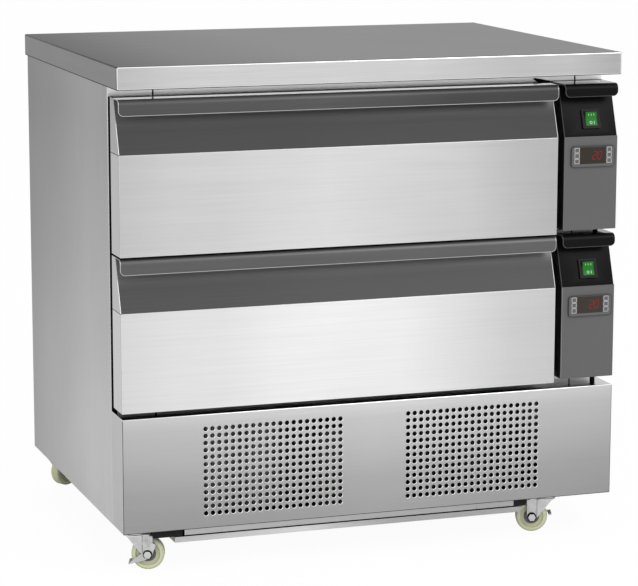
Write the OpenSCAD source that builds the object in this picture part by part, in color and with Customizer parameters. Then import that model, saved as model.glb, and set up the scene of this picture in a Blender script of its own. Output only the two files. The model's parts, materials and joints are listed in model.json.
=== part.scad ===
// Refrigerated counter with two full-width drawers on four castors.
// Origin on the floor below the middle of the worktop, front towards -Y, +Z up, millimetres.

/* [Worktop] */
// Width of the worktop
top_w = 930; // [900:5:960]
// Depth of the worktop
top_d = 700; // [690:5:740]
// Thickness of the worktop
top_t = 40; // [34:1:48]
// Overhang of the worktop past each side of the body
top_overhang = 3.5; // [2:0.5:6]
// Distance from the worktop's front edge back to the drawer fronts
front_set = 4; // [4:1:8]
// Distance from the worktop's back edge to the back panel
back_set = 6; // [5:1:10]
// Radius of the skirt screws
skirt_screw_r = 3; // [2:0.5:4]
// Distance of the skirt screws from the front and back edges
skirt_screw_in = 140; // [100:5:180]

/* [Body] */
// Height of the cabinet bottom above the floor
floor_gap = 74; // [74:1:80]
// Thickness of the sheet panels
sheet_t = 1.2; // [1:0.1:1.6]
// Thickness of the insulated side and front walls
wall_t = 50; // [44:1:52]
// Thickness of the insulated back wall
back_wall_t = 45; // [36:1:46]
// Thickness of the insulated floor under the lower cavity
floor_wall_t = 43; // [40:1:46]
// Thickness of the cavity liners
liner_t = 1; // [0.8:0.1:1.2]
// Width of the coil chamber beside the drawers
coil_w = 98; // [94:1:104]
// Thickness of the air baffle
baffle_t = 1.5; // [1.2:0.1:2]
// Distance of the face frame's left joint from the middle
joint_left = 381; // [370:1:405]
// Distance of the face frame's right joint from the middle
joint_right = 409; // [405:0.5:409]
// Width of the face frame's joints
joint_w = 3; // [2:0.5:4]

/* [Lower panel] */
// Height of the perforated panel
panel_h = 204; // [198:1:212]
// Radius of the grille holes
hole_r = 3.9; // [3:0.1:4.4]
// Spacing of the grille holes across
hole_dx = 12.4; // [11:0.1:13]
// Spacing of the grille holes upward
hole_dz = 12.6; // [11:0.1:13]
// Number of holes in a grille row
hole_cols = 21; // [17:1:21]
// Number of rows in a grille
hole_rows = 13; // [9:1:13]
// Distance of each grille's middle from the panel's middle
grille_x = 188; // [180:1:192]
// Height of the strip under the panel
strip_h = 10.5; // [8:0.5:11]
// Height of the base tray
tray_h = 10; // [6:0.5:10]
// Gap between the strip and the base tray
tray_gap = 4; // [3:0.5:5]
// Half the length of the strip
strip_half = 311; // [290:1:320]
// Half the length of the base tray
tray_half = 327; // [300:1:328]
// Depth of the base tray
tray_d = 280; // [200:10:300]

/* [Drawers] */
// Height of a drawer front
drawer_h = 269; // [262:1:276]
// Thickness of a drawer front
drawer_t = 56; // [52:1:60]
// Gap between the drawer fronts and the body, filled by the gasket
seal_gap = 18; // [14:1:20]
// Gap between the two drawer fronts
drawer_gap = 3; // [3:1:6]
// Gap between the worktop and the upper drawer
head_gap = 16; // [12:1:20]
// Gap between the lower drawer and the perforated panel
foot_gap = 10; // [6:1:12]
// Margin of a front around its cavity, above and below
open_margin = 22; // [20:1:26]
// Height of the bright face
face_h = 175; // [165:1:180]
// Height of the handle's lip
lip_h = 28; // [24:1:32]
// Radius of the lip's rolled top edge
lip_r = 10; // [6:1:12]
// Radius of the lip's lower corners
lip_corner_r = 9; // [5:1:11]
// Setback of the grip slope at its top
slope_back = 34; // [30:1:38]
// Width of the gasket
gasket_w = 14; // [10:1:16]
// Distance of the gasket from the front's edge
gasket_in = 5; // [3:1:8]
// Height of a drawer box
box_h = 160; // [120:5:170]
// Gap between a closed drawer box and the cavity's back wall
box_back_gap = 53; // [49:2:89]
// Width of the divider between two pans
divider_w = 12; // [8:1:20]

/* [Slides] */
// Width taken by one slide
slide_w = 14; // [14:0.5:16]
// Height of a fixed rail
rail_h = 40; // [34:1:44]
// Gap between the rails' ends and the cavity's back wall
rail_back_gap = 47.8; // [37.8:5:77.8]
// Sheet thickness of the rails
rail_t = 1.5; // [1.2:0.1:1.8]
// Clearance between slide members
slide_clear = 0.6; // [0.5:0.1:1]

/* [Controls] */
// Width of a control box
control_w = 103; // [98:1:108]
// Gap between the drawers and the control boxes
side_gap = 13; // [10:1:16]
// Height of the control boxes' bottoms above the drawers' bottoms
control_lift = 6; // [4:1:10]
// Height of the control box's lip
control_lip_h = 23; // [20:1:28]
// Wall of the control housing
housing_t = 2.5; // [2:0.1:3]
// Thickness of the control face
face_t = 2; // [1.5:0.1:3]
// Width of the controller's bezel
bezel_w = 85; // [80:1:90]
// Height of the controller's bezel
bezel_h = 38; // [36:1:42]
// Corner radius of the bezel
bezel_r = 9; // [5:1:12]
// How far the bezel stands out
bezel_t = 3; // [2:0.5:3.5]
// Width of the display window
window_w = 50; // [44:1:52]
// Height of the display window
window_h = 30; // [26:1:31]
// Distance from the top of the control face down to the bezel's middle
bezel_drop = 36; // [32:1:42]
// Width of the controller's body behind the face
ctl_body_w = 71; // [64:1:74]
// Height of the controller's body behind the face
ctl_body_h = 29; // [24:1:32]
// Length of the rocker
rocker_l = 26; // [24:1:32]
// Width of the rocker
rocker_w = 25; // [20:1:28]
// Tilt of the rocker to either side
rocker_tilt = 8; // [5:1:10]
// Margin of the switch frame round its rocker
frame_margin = 4; // [3:0.5:5]
// Height of the rocker's middle above the control face
rocker_rise = 30; // [26:1:34]

/* [Castors] */
// Radius of a wheel
wheel_r = 29; // [25:0.5:29]
// Width of a wheel
wheel_w = 20; // [16:1:24]
// Trail from the swivel axis to the axle
trail = 23; // [20:1:24]
// Radius of the axle
axle_r = 4; // [3:0.5:5]
// Radius of the kingpin
kingpin_r = 5; // [4:0.5:6]
// Running clearance of pins, axles and shafts
run_clear = 0.05; // [0.03:0.01:0.08]
// Distance of the left castors' swivel axes from the body's side
castor_in_left = 32.5; // [30:0.5:40]
// Distance of the right castors' swivel axes from the body's side
castor_in_right = 111.5; // [105:0.5:118]
// Distance of the swivel axes from the worktop's front and back edges
castor_in_y = 50; // [48:1:60]
// Side of a castor's square plate
plate_w = 58; // [50:1:60]
// Swivel angle of the front left castor
turn_fl = -19; // [-30:1:0]
// Swivel angle of the front right castor
turn_fr = 161; // [150:1:180]
// Swivel angle of the rear left castor
turn_rl = 30; // [0:1:60]
// Swivel angle of the rear right castor
turn_rr = 150; // [120:1:180]
// Angle of the locked pedal below the level
pedal_down = 21; // [15:1:24]
// Angle of the released pedal above the level
pedal_up = 13; // [8:1:16]

/* [Machine bay] */
// Radius of a compressor's pot
pot_r = 75; // [65:1:80]
// Height of a compressor's pot
pot_h = 160; // [130:5:165]
// Height of the rubber grommets under a compressor
grommet_h = 12; // [8:1:14]
// Width of a condenser
coil_face_w = 220; // [200:5:230]
// Height of a condenser
coil_face_h = 170; // [150:5:178]
// Thickness of a condenser
coil_t = 40; // [30:2:44]
// Radius of a condenser fan
fan_r = 74; // [60:1:76]
// Radius of an evaporator fan
evap_fan_r = 52; // [44:1:54]
// Radius of the fan shafts
shaft_r = 3; // [2:0.5:4]
// Radius of the copper pipes
pipe_r = 4; // [3:0.5:5]
// Distance of the pipe runs from a condenser's side
pipe_out = 18; // [17:1:22]

/* [Hidden] */

$fn = 48;
eps = 0.01;

// Planes of the body
front_y = -top_d / 2 + front_set;
body_front = front_y + drawer_t + seal_gap;
body_back = top_d / 2 - back_set;
body_w = top_w - 2 * top_overhang;
side_x = body_w / 2;
inner_x = side_x - sheet_t;
panel_top = floor_gap + panel_h;
drawer_z = [panel_top + foot_gap, panel_top + foot_gap + drawer_h + drawer_gap];
body_top = drawer_z[1] + drawer_h + head_gap;
total_h = body_top + top_t;
base_top = floor_gap + sheet_t;

// Cavities, coil chamber and machine bay
cavity_h = drawer_h - 2 * open_margin;
ceiling_z = drawer_z[0] + open_margin - floor_wall_t;
cavity_x0 = -side_x + wall_t;
chamber_x1 = side_x - wall_t;
open_x1 = chamber_x1 - coil_w - baffle_t;
chamber_x0 = open_x1 + baffle_t;
chamber_y0 = body_front + wall_t;
cavity_y0 = body_front + sheet_t;
cavity_y1 = body_back - back_wall_t;
function cavity_z(level) = drawer_z[level] + open_margin;

// Drawer fronts, boxes and slides
drawer_x0 = -side_x;
drawer_x1 = side_x - control_w - side_gap;
front_back_y = front_y + drawer_t;
slide_mid_x = (cavity_x0 + open_x1) / 2;
slide_half = (open_x1 - cavity_x0) / 2;
box_half = slide_half - slide_w;
box_lift = 14;
rail_drop = 32;
rail_y0 = cavity_y0 + 12;
rail_l = cavity_y1 - rail_back_gap - rail_y0;
box_d = cavity_y1 - box_back_gap - front_back_y;
mid_in = 5;
inner_in = 11;
function box_z(level) = cavity_z(level) + box_lift;
function rail_z(level) = box_z(level) + rail_drop;
function slope_z(level) = drawer_z[level] + face_h;
function front_top(level) = drawer_z[level] + drawer_h;

// Grip slope
grip_t = 1.5;
slope_rise = drawer_h - face_h - grip_t;
slope_tilt = atan2(slope_back, slope_rise);
slope_skin = grip_t / cos(slope_tilt);

// Controls
control_x0 = side_x - control_w;
control_mid_x = control_x0 + control_w / 2;
device_x = control_mid_x + 3;
ctl_body_d = 45;
window_rise = 2;
window_t = 1;
rocker_y = front_y + rocker_rise * slope_back / slope_rise;
frame_wall = 1.6;
frame_gap = 0.8;
frame_t = 2.5;
well_d = 12;
rocker_pin_r = 1.5;
rocker_pivot = 1;

// Castors
castor_mid_x = (castor_in_left - castor_in_right) / 2;
castor_x = [-side_x + castor_in_left, side_x - castor_in_right];
castor_y = [-top_d / 2 + castor_in_y, top_d / 2 - castor_in_y];
castor_plate_t = 3;
fork_t = 2.2;
fork_gap = 2.2;
crown_t = 2.5;
crown_gap = 0.4;
crown_top = floor_gap - castor_plate_t - 6.7;
pedal_t = 2.2;
pedal_gap = 0.3;
pad_reach = 34;
pad_drop = 5;
pad_t = 2.5;

// Base parts
strip_in = 4;
tray_in = 10;
tray_top = floor_gap - strip_h - tray_gap;

// Machine bay
condenser_y = body_front + 10;
condenser_z = floor_gap + 8;
condenser_x = coil_face_w / 2;
condenser_row = 27;
tube_r = 4.5;
tube_out = 6;
shroud_y = condenser_y + coil_t;
shroud_d = 32;
shroud_t = 2;
bay_mid_z = condenser_z + coil_face_h / 2;
fan_y = shroud_y + shroud_d - 8;
fan_t = 14;
motor_y = fan_y + fan_t / 2 + 6;
motor_r = 32;
motor_l = 44;
compressor_y = 0;
pot_z = base_top + grommet_h + 3;
foot_half_x = 85;
foot_half_y = 62;
foot_hole_in = 14;
stub_l = 12;
discharge_dx = 40;
discharge_z = pot_z + pot_h - 55;
suction_z = pot_z + pot_h / 2;
drier_r = 11;
drier_l = 90;
evap_fan_y = cavity_y1 - evap_fan_r - 40;
evap_fan_x = chamber_x0 + 26;
evap_motor_r = 20;
evap_motor_l = 30;
turn_out = 20;
riser_out = 60;
suction_out = 30;
elec_w = 90;
elec_d = 110;
elec_h = 100;
elec_in = 8;
elec_back = 70;
lid_t = 3;
lid_over = 2;

steel = [0.78, 0.79, 0.80];
bright = [0.86, 0.87, 0.88];
dark_grey = [0.33, 0.33, 0.34];
black = [0.10, 0.10, 0.11];
zinc = [0.70, 0.71, 0.73];

// Box between two corners
module slab(x0, x1, y0, y1, z0, z1) {
    translate([x0, y0, z0]) cube([x1 - x0, y1 - y0, z1 - z0]);
}

// Outline in the YZ plane, drawn out along X
module along_x(x0, x1) {
    translate([x0, 0, 0]) rotate([90, 0, 90]) linear_extrude(height = x1 - x0) children();
}

// Outline in the XZ plane, drawn out along Y
module along_y(y0, y1) {
    translate([0, y1, 0]) rotate([90, 0, 0]) linear_extrude(height = y1 - y0) children();
}

// Rectangle with round corners, centred, without offset
module round_rect(w, h, r) {
    square([w - 2 * r, h], center = true);
    square([w, h - 2 * r], center = true);
    for (sx = [-1, 1], sz = [-1, 1])
        translate([sx * (w / 2 - r), sz * (h / 2 - r)]) circle(r = r);
}

// Slot with round ends, centred
module slot(w, h) {
    square([w - h, h], center = true);
    for (s = [-1, 1]) translate([s * (w - h) / 2, 0]) circle(r = h / 2);
}

// Quarter bend from direction u to direction v, round the corner of two pipe runs
module elbow(corner, u, v, bend, r) {
    c = corner - bend * u + bend * v;
    w = cross(u, v);
    multmatrix([[-v.x, u.x, w.x, c.x], [-v.y, u.y, w.y, c.y], [-v.z, u.z, w.z, c.z], [0, 0, 0, 1]])
        rotate_extrude(angle = 90) translate([bend, 0]) circle(r = r);
}

function heading(a, b) = (b - a) / norm(b - a);

// Pipe through a list of points whose turns are all square
module pipe(points, r) {
    bend = 2 * r;
    last = len(points) - 2;
    for (i = [0 : last]) {
        u = heading(points[i], points[i + 1]);
        start = points[i] + (i > 0 ? bend : 0) * u;
        stop = points[i + 1] - (i < last ? bend : 0) * u;
        translate(start) rotate([0, acos(u.z), atan2(u.y, u.x)])
            cylinder(h = norm(stop - start), r = r);
        if (i < last) elbow(points[i + 1], u, heading(points[i + 1], points[i + 2]), bend, r);
    }
}

module worktop() {
    color(steel) difference() {
        slab(-top_w / 2, top_w / 2, -top_d / 2, top_d / 2, body_top, total_h);
        slab(-top_w / 2 + sheet_t, top_w / 2 - sheet_t, -top_d / 2 + sheet_t,
            top_d / 2 - sheet_t, body_top - 1, total_h - sheet_t);
        skirt_screw_places() cylinder(h = 3 * sheet_t, r = skirt_screw_r + run_clear, center = true);
    }
}

module skirt_screw_places() {
    for (sx = [-1, 1], sy = [-1, 1])
        translate([sx * top_w / 2, sy * (top_d / 2 - skirt_screw_in), body_top + top_t / 2])
            rotate([0, sx * 90, 0]) children();
}

module worktop_core() {
    color("burlywood") difference() {
        slab(-top_w / 2 + sheet_t, top_w / 2 - sheet_t, -top_d / 2 + sheet_t,
            top_d / 2 - sheet_t, body_top, total_h - sheet_t);
        skirt_screw_places() cylinder(h = 40, r = skirt_screw_r + run_clear, center = true);
    }
}

module side_panel(s) {
    color(steel)
        slab(min(s * side_x, s * inner_x), max(s * side_x, s * inner_x), body_front, body_back,
            floor_gap, body_top);
}

module left_side_panel() { side_panel(-1); }
module right_side_panel() { side_panel(1); }

inlet_in = 70;
inlet_rise = 50;
inlet_x = inner_x - inlet_in;
inlet_z = base_top + inlet_rise;
inlet_w = 27;
inlet_h = 20;
vent_w = 90;
vent_h = 5;
vent_rows = 9;
vent_pitch = 14;

module back_panel() {
    color(steel) along_y(body_back - sheet_t, body_back) difference() {
        translate([-inner_x, floor_gap]) square([2 * inner_x, body_top - floor_gap]);
        for (s = [-1, 1], column = [-1, 1], row = [0 : vent_rows - 1])
            translate([s * grille_x + column * 52, base_top + 36 + row * vent_pitch])
                slot(vent_w, vent_h);
        translate([inlet_x, inlet_z]) square([inlet_w, inlet_h], center = true);
    }
}

module base_plate() {
    color(steel)
        slab(-inner_x, inner_x, body_front, body_back - sheet_t, floor_gap, base_top);
}

joint_end = 2;
left_joints = [[ceiling_z + 2 * sheet_t, cavity_z(0) - joint_end],
    [cavity_z(0) + cavity_h + joint_end, cavity_z(1) - joint_end],
    [cavity_z(1) + cavity_h + joint_end, body_top - joint_end]];

module face_frame() {
    color(steel) {
        along_y(body_front, body_front + sheet_t) difference() {
            translate([-inner_x, ceiling_z]) square([2 * inner_x, body_top - ceiling_z]);
            for (level = [0, 1])
                translate([cavity_x0, cavity_z(level)]) square([open_x1 - cavity_x0, cavity_h]);
            translate([joint_right - joint_w / 2, ceiling_z + 2 * sheet_t])
                square([joint_w, body_top - ceiling_z - 3 * sheet_t]);
            for (span = left_joints)
                translate([-joint_left - joint_w / 2, span[0]]) square([joint_w, span[1] - span[0]]);
        }
        slab(-inner_x, inner_x, body_front, body_back - sheet_t, ceiling_z, ceiling_z + sheet_t);
    }
}

// Space inside a liner, grown outward by g
module cavity_space(level, g) {
    z0 = cavity_z(level) - g;
    z1 = cavity_z(level) + cavity_h + g;
    slab(cavity_x0 - g, open_x1 + g, cavity_y0 - (g > 0 ? 0 : 1), cavity_y1 + g, z0, z1);
    slab(cavity_x0 - g, chamber_x1 + g, chamber_y0 - g, cavity_y1 + g, z0, z1);
}

module liner(level) {
    color([0.84, 0.85, 0.86]) difference() {
        cavity_space(level, liner_t);
        cavity_space(level, 0);
    }
}

module upper_liner() { liner(1); }
module lower_liner() { liner(0); }

board_gap = 0.1;

// Foam boards round the two cavities, a hair apart
module insulation() {
    x0 = cavity_x0 - liner_t;
    x1 = chamber_x1 + liner_t;
    back = body_back - sheet_t;
    tops = [cavity_z(0) - liner_t, cavity_z(1) - liner_t, body_top];
    feet = [ceiling_z + sheet_t, cavity_z(0) + cavity_h + liner_t,
        cavity_z(1) + cavity_h + liner_t];
    color("khaki") {
        for (i = [0 : 2]) slab(-inner_x, inner_x, cavity_y0, back, feet[i], tops[i]);
        for (level = [0, 1]) {
            z0 = tops[level] + board_gap;
            z1 = feet[level + 1] - board_gap;
            slab(-inner_x, x0, cavity_y0, back, z0, z1);
            slab(x1, inner_x, cavity_y0, back, z0, z1);
            slab(x0 + board_gap, x1 - board_gap, cavity_y1 + liner_t, back, z0, z1);
            slab(open_x1 + liner_t, x1 - board_gap, cavity_y0, chamber_y0 - liner_t, z0, z1);
        }
    }
}

module air_baffles() {
    slot_h = 8;
    slot_l = 60;
    slot_in = 60;
    slot_step = 90;
    slot_rise = 20;
    color("gainsboro") for (level = [0, 1])
        along_x(open_x1, chamber_x0) difference() {
            translate([chamber_y0, cavity_z(level)]) square([cavity_y1 - chamber_y0, cavity_h]);
            translate([evap_fan_y, cavity_z(level) + cavity_h / 2]) circle(r = evap_fan_r + 4);
            for (row = [0 : 3], column = [0, 1])
                translate([chamber_y0 + slot_in + column * slot_step,
                    rail_z(level) + rail_h + row * slot_rise]) square([slot_l, slot_h]);
        }
}

module evaporators() {
    half_l = 120;
    coil_in = 12;
    color("silver") for (level = [0, 1])
        translate([chamber_x1, chamber_y0 + 30 + half_l, cavity_z(level) + 24]) rotate([0, 0, 90]) {
            translate([0, coil_in, 0])
                coil(half_l, coil_w - 2 * coil_in, cavity_h - 48, 16, 4, 42);
            for (s = [-1, 1])
                slab(s * half_l - 0.6, s * half_l + 0.6, 0, coil_in + eps, 0, cavity_h - 48);
        }
}

// One place per slide, with X running from the cavity wall towards the drawer
module slide_sides() {
    for (s = [-1, 1])
        translate([slide_mid_x + s * slide_half, 0, 0]) mirror([s > 0 ? 1 : 0, 0, 0]) children();
}

// Channel rail open towards the drawer, from u0 to u1 off the wall
module channel(u0, u1, h, z) {
    slab(u0, u0 + rail_t, rail_y0, rail_y0 + rail_l, z - h / 2, z + h / 2);
    for (s = [-1, 1])
        slab(u0, u1, rail_y0, rail_y0 + rail_l, z + s * (h - rail_t) / 2 - rail_t / 2,
            z + s * (h - rail_t) / 2 + rail_t / 2);
}

module fixed_rails() {
    color(zinc) for (level = [0, 1])
        slide_sides() channel(0, mid_in + 4, rail_h, rail_z(level));
}

mid_h = rail_h - 2 * (rail_t + slide_clear);
inner_h = mid_h - 2 * (rail_t + slide_clear);

module mid_rails(level) {
    color(zinc) slide_sides() channel(mid_in, slide_w - 1, mid_h, rail_z(level));
}

module upper_mid_rails() { mid_rails(1); }
module lower_mid_rails() { mid_rails(0); }

module lower_panel() {
    x1 = side_x;
    color(steel) {
        along_y(front_y, front_y + sheet_t) difference() {
            translate([-x1, floor_gap]) square([2 * x1, panel_h]);
            for (s = [-1, 1], column = [0 : hole_cols - 1], row = [0 : hole_rows - 1])
                translate([s * grille_x + (column - (hole_cols - 1) / 2) * hole_dx,
                    floor_gap + panel_h / 2 + (row - (hole_rows - 1) / 2) * hole_dz])
                    circle(r = hole_r, $fn = 24);
        }
        difference() {
            slab(-x1, x1, front_y + sheet_t, body_front, floor_gap, panel_top);
            slab(-x1 + sheet_t, x1 - sheet_t, front_y, body_front + 1, base_top,
                panel_top - sheet_t);
        }
    }
}

module bottom_strip() {
    mid = castor_mid_x;
    color(steel) {
        slab(mid - strip_half, mid + strip_half, front_y + strip_in,
            front_y + strip_in + sheet_t, floor_gap - strip_h, floor_gap);
        slab(mid - strip_half, mid + strip_half, front_y + strip_in, body_front,
            floor_gap - sheet_t, floor_gap);
    }
}

tray_y0 = front_y + tray_in;
tab_in = 60;
tray_tabs = [tray_y0 + tab_in, tray_y0 + tray_d - tab_in];
tab_w = 24;
tray_screw_r = 2.5;
tray_screw_in = 71;

module base_tray() {
    mid = castor_mid_x;
    color(steel) {
        difference() {
            slab(mid - tray_half, mid + tray_half, tray_y0, tray_y0 + tray_d,
                tray_top - tray_h, tray_top);
            slab(mid - tray_half + sheet_t, mid + tray_half - sheet_t, tray_y0 + sheet_t,
                tray_y0 + tray_d - sheet_t, tray_top - tray_h + sheet_t, tray_top + 1);
        }
        for (s = [-1, 1], y = tray_tabs) {
            x = mid + s * (tray_half - sheet_t / 2);
            slab(x - sheet_t / 2, x + sheet_t / 2, y, y + tab_w, tray_top - 1, floor_gap);
        }
    }
}

module screws() {
    color("silver") {
        skirt_screw_places() translate([0, 0, -18]) cylinder(h = 17.8, r = skirt_screw_r);
        for (s = [-1, 1])
            translate([castor_mid_x + s * (strip_half - tray_screw_in),
                front_y + strip_in + sheet_t, floor_gap - strip_h + 3])
                rotate([90, 0, 0]) translate([0, 0, sheet_t])
                    cylinder(h = 1.2, r = tray_screw_r);
    }
}

module compressors() {
    color(black) for (s = [-1, 1]) translate([s * grille_x, compressor_y, 0]) {
        translate([0, 0, pot_z]) rotate_extrude() difference() {
            union() {
                square([pot_r, pot_h - pot_r / 2]);
                intersection() {
                    translate([0, pot_h - pot_r]) circle(r = pot_r);
                    square([pot_r, pot_h]);
                }
            }
            translate([-pot_r, -1]) square([pot_r, pot_h + 2]);
        }
        slab(-foot_half_x, foot_half_x, -foot_half_y, foot_half_y, pot_z - 3, pot_z);
        translate([-discharge_dx, 0, discharge_z]) rotate([90, 0, 0])
            cylinder(h = pot_r + stub_l, r = pipe_r + 1);
        translate([0, 0, suction_z]) rotate([-90, 0, 0])
            cylinder(h = pot_r + stub_l, r = pipe_r + 2);
        for (sx = [-1, 1], sy = [-1, 1])
            translate([sx * (foot_half_x - foot_hole_in), sy * (foot_half_y - foot_hole_in), base_top])
                cylinder(h = grommet_h, r = 11);
    }
}

// Fin pack between two end plates, with the tube ends standing out of them
module coil(half_w, depth, h, fins, rows, row_pitch) {
    core_in = depth / 4;
    for (s = [-1, 1]) slab(s * half_w - 0.6, s * half_w + 0.6, 0, depth, 0, h);
    slab(-half_w, half_w, core_in, depth - core_in, 2, h - 2);
    for (i = [1 : fins - 1])
        slab(-half_w + i * 2 * half_w / fins - 0.5, -half_w + i * 2 * half_w / fins + 0.5,
            1, depth - 1, 2, h - 2);
    for (s = [-1, 1], row = [0 : rows - 1], y = [core_in, depth - core_in])
        translate([s * (half_w + 0.6), y, 14 + row * row_pitch])
            rotate([0, s * 90, 0]) cylinder(h = tube_out, r = tube_r);
}

module condensers() {
    color([0.25, 0.25, 0.27]) for (s = [-1, 1]) translate([s * grille_x, condenser_y, 0]) {
        translate([0, 0, condenser_z])
            coil(condenser_x, coil_t, coil_face_h, 20, 6, condenser_row);
        for (sx = [-1, 1])
            slab(sx * condenser_x - 0.6, sx * condenser_x + 0.6, 0, coil_t, base_top,
                condenser_z + eps);
    }
}

module fan_shrouds() {
    color("dimgray") for (s = [-1, 1]) translate([s * grille_x, 0, 0]) difference() {
        slab(-condenser_x, condenser_x, shroud_y, shroud_y + shroud_d, base_top,
            condenser_z + coil_face_h);
        slab(-condenser_x + shroud_t, condenser_x - shroud_t, shroud_y - 1,
            shroud_y + shroud_d - shroud_t, base_top + shroud_t,
            condenser_z + coil_face_h - shroud_t);
        translate([0, shroud_y + shroud_d + 1, bay_mid_z]) rotate([90, 0, 0])
            cylinder(h = shroud_t + 4, r = fan_r + 4);
    }
}

// Motor along +Z from the fan, with its shaft through the fan's hub
module motor(r, l, shaft_l) {
    cylinder(h = l, r = r);
    translate([0, 0, -shaft_l]) cylinder(h = shaft_l + 1, r = shaft_r);
}

module fan_motors() {
    strap_z = fan_r + 8;
    color("silver") {
        for (s = [-1, 1]) translate([s * grille_x, 0, bay_mid_z]) {
            translate([0, motor_y, 0]) rotate([-90, 0, 0]) motor(motor_r, motor_l, fan_t + 8);
            slab(-9, 9, motor_y + motor_l, motor_y + motor_l + 2, -strap_z, strap_z);
            for (sz = [-1, 1])
                slab(-9, 9, shroud_y + shroud_d, motor_y + motor_l + 2, sz * strap_z - 1,
                    sz * strap_z + 1);
        }
        for (level = [0, 1])
            translate([evap_fan_x + 16, evap_fan_y, cavity_z(level) + cavity_h / 2])
                rotate([0, 90, 0]) {
                    motor(evap_motor_r, evap_motor_l, 24);
                    translate([0, 0, evap_motor_l])
                        cylinder(h = chamber_x1 - evap_fan_x - 16 - evap_motor_l, r = 9);
                }
    }
}

// Fan on the Z axis, hub bored for its shaft
module fan(r, t, hub_r, blades) {
    difference() {
        union() {
            translate([0, 0, -t / 2]) cylinder(h = t, r = hub_r);
            for (i = [0 : blades - 1]) rotate([0, 0, i * 360 / blades])
                translate([hub_r - 2, 0, 0]) rotate([28, 0, 0])
                    translate([0, -r * 0.24, -1]) cube([r - hub_r - 2, r * 0.48, 1.6]);
        }
        cylinder(h = 3 * t, r = shaft_r + run_clear, center = true);
    }
}

module condenser_fan(s) {
    color("gray") translate([s * grille_x, fan_y, bay_mid_z]) rotate([-90, 0, 0])
        fan(fan_r, fan_t, 22, 5);
}

module left_condenser_fan() { condenser_fan(-1); }
module right_condenser_fan() { condenser_fan(1); }

module evaporator_fan(level) {
    color("gray") translate([evap_fan_x, evap_fan_y, cavity_z(level) + cavity_h / 2])
        rotate([0, 90, 0]) fan(evap_fan_r, fan_t, 17, 5);
}

module upper_evaporator_fan() { evaporator_fan(1); }
module lower_evaporator_fan() { evaporator_fan(0); }

module refrigerant_pipes() {
    side = condenser_x + pipe_out;
    tube_end = condenser_x + 0.6 + tube_out;
    front = condenser_y + coil_t / 4;
    turn = compressor_y - pot_r - stub_l - turn_out;
    top_row = condenser_z + 14 + 5 * condenser_row;
    low_row = condenser_z + 14;
    drier_y = compressor_y - 40;
    back = compressor_y + pot_r + stub_l;
    color("peru") for (s = [-1, 1]) translate([s * grille_x, 0, 0]) {
        pipe([[-discharge_dx, compressor_y - pot_r - stub_l, discharge_z],
            [-discharge_dx, turn, discharge_z], [-side, turn, discharge_z],
            [-side, turn, top_row], [-side, front, top_row], [-tube_end, front, top_row]], pipe_r);
        pipe([[tube_end, front, low_row], [side, front, low_row], [side, drier_y, low_row]], pipe_r);
        translate([side, drier_y, low_row]) rotate([-90, 0, 0]) cylinder(h = drier_l, r = drier_r);
        pipe([[side, drier_y + drier_l, low_row], [side, back + riser_out, low_row],
            [side, back + riser_out, ceiling_z]], pipe_r);
        pipe([[0, back, suction_z], [0, back + suction_out, suction_z],
            [0, back + suction_out, ceiling_z]], pipe_r + 1);
    }
}

module electrical_box() {
    x1 = inner_x - elec_in;
    y1 = body_back - elec_back;
    color("lightgray") {
        slab(x1 - elec_w, x1, y1 - elec_d, y1, base_top, base_top + elec_h);
        slab(x1 - elec_w - lid_over, x1 + lid_over, y1 - elec_d - lid_over, y1 + lid_over,
            base_top + elec_h, base_top + elec_h + lid_t);
    }
}

module mains_inlet() {
    color(black) translate([inlet_x, 0, inlet_z]) difference() {
        union() {
            slab(-inlet_w / 2 + 0.2, inlet_w / 2 - 0.2, body_back - 22, body_back,
                -inlet_h / 2 + 0.2, inlet_h / 2 - 0.2);
            slab(-inlet_w / 2 - 10, inlet_w / 2 + 10, body_back - sheet_t - 3,
                body_back - sheet_t, -inlet_h / 2 - 3, inlet_h / 2 + 3);
        }
        slab(-inlet_w / 2 + 2.5, inlet_w / 2 - 2.5, body_back - 16, body_back + 1,
            -inlet_h / 2 + 2.5, inlet_h / 2 - 2.5);
    }
}

// Rolled top plate and lip, in the YZ plane, for a front whose top is at z1
module lip_outline(z1, height, t, y_back) {
    outer = [for (a = [90 : 10 : 180]) [front_y + lip_r + lip_r * cos(a), z1 - lip_r + lip_r * sin(a)]];
    inner = [for (a = [180 : -10 : 90]) [front_y + lip_r + (lip_r - t) * cos(a),
        z1 - lip_r + (lip_r - t) * sin(a)]];
    polygon(concat([[y_back, z1]], outer, [[front_y, z1 - height], [front_y + t, z1 - height]],
        inner, [[y_back, z1 - t]]));
}

// Sloping sheet of the grip, in the YZ plane
module slope_outline(level, t) {
    z0 = slope_z(level);
    z1 = front_top(level) - grip_t;
    run = t / cos(slope_tilt);
    polygon([[front_y, z0], [front_y + slope_back, z1], [front_y + slope_back + run, z1],
        [front_y + run, z0]]);
}

// Rounds the lower corners of a lip that runs from x0 to x1
module lip_corners(x0, x1, z0, t) {
    for (end = [0, 1])
        translate([end == 0 ? x0 : x1, 0, z0]) mirror([end, 0, 0])
            along_y(front_y - 1, front_y + t + 1) difference() {
                translate([-1, -1]) square([lip_corner_r + 1, lip_corner_r + 1]);
                translate([lip_corner_r, lip_corner_r]) circle(r = lip_corner_r);
            }
}

module front_skin(level) {
    z0 = drawer_z[level];
    z1 = slope_z(level);
    color(bright) difference() {
        slab(drawer_x0, drawer_x1, front_y, front_back_y, z0, z1);
        slab(drawer_x0 + sheet_t, drawer_x1 - sheet_t, front_y + sheet_t, front_back_y + 1,
            z0 + sheet_t, z1 + 1);
    }
}

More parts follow.
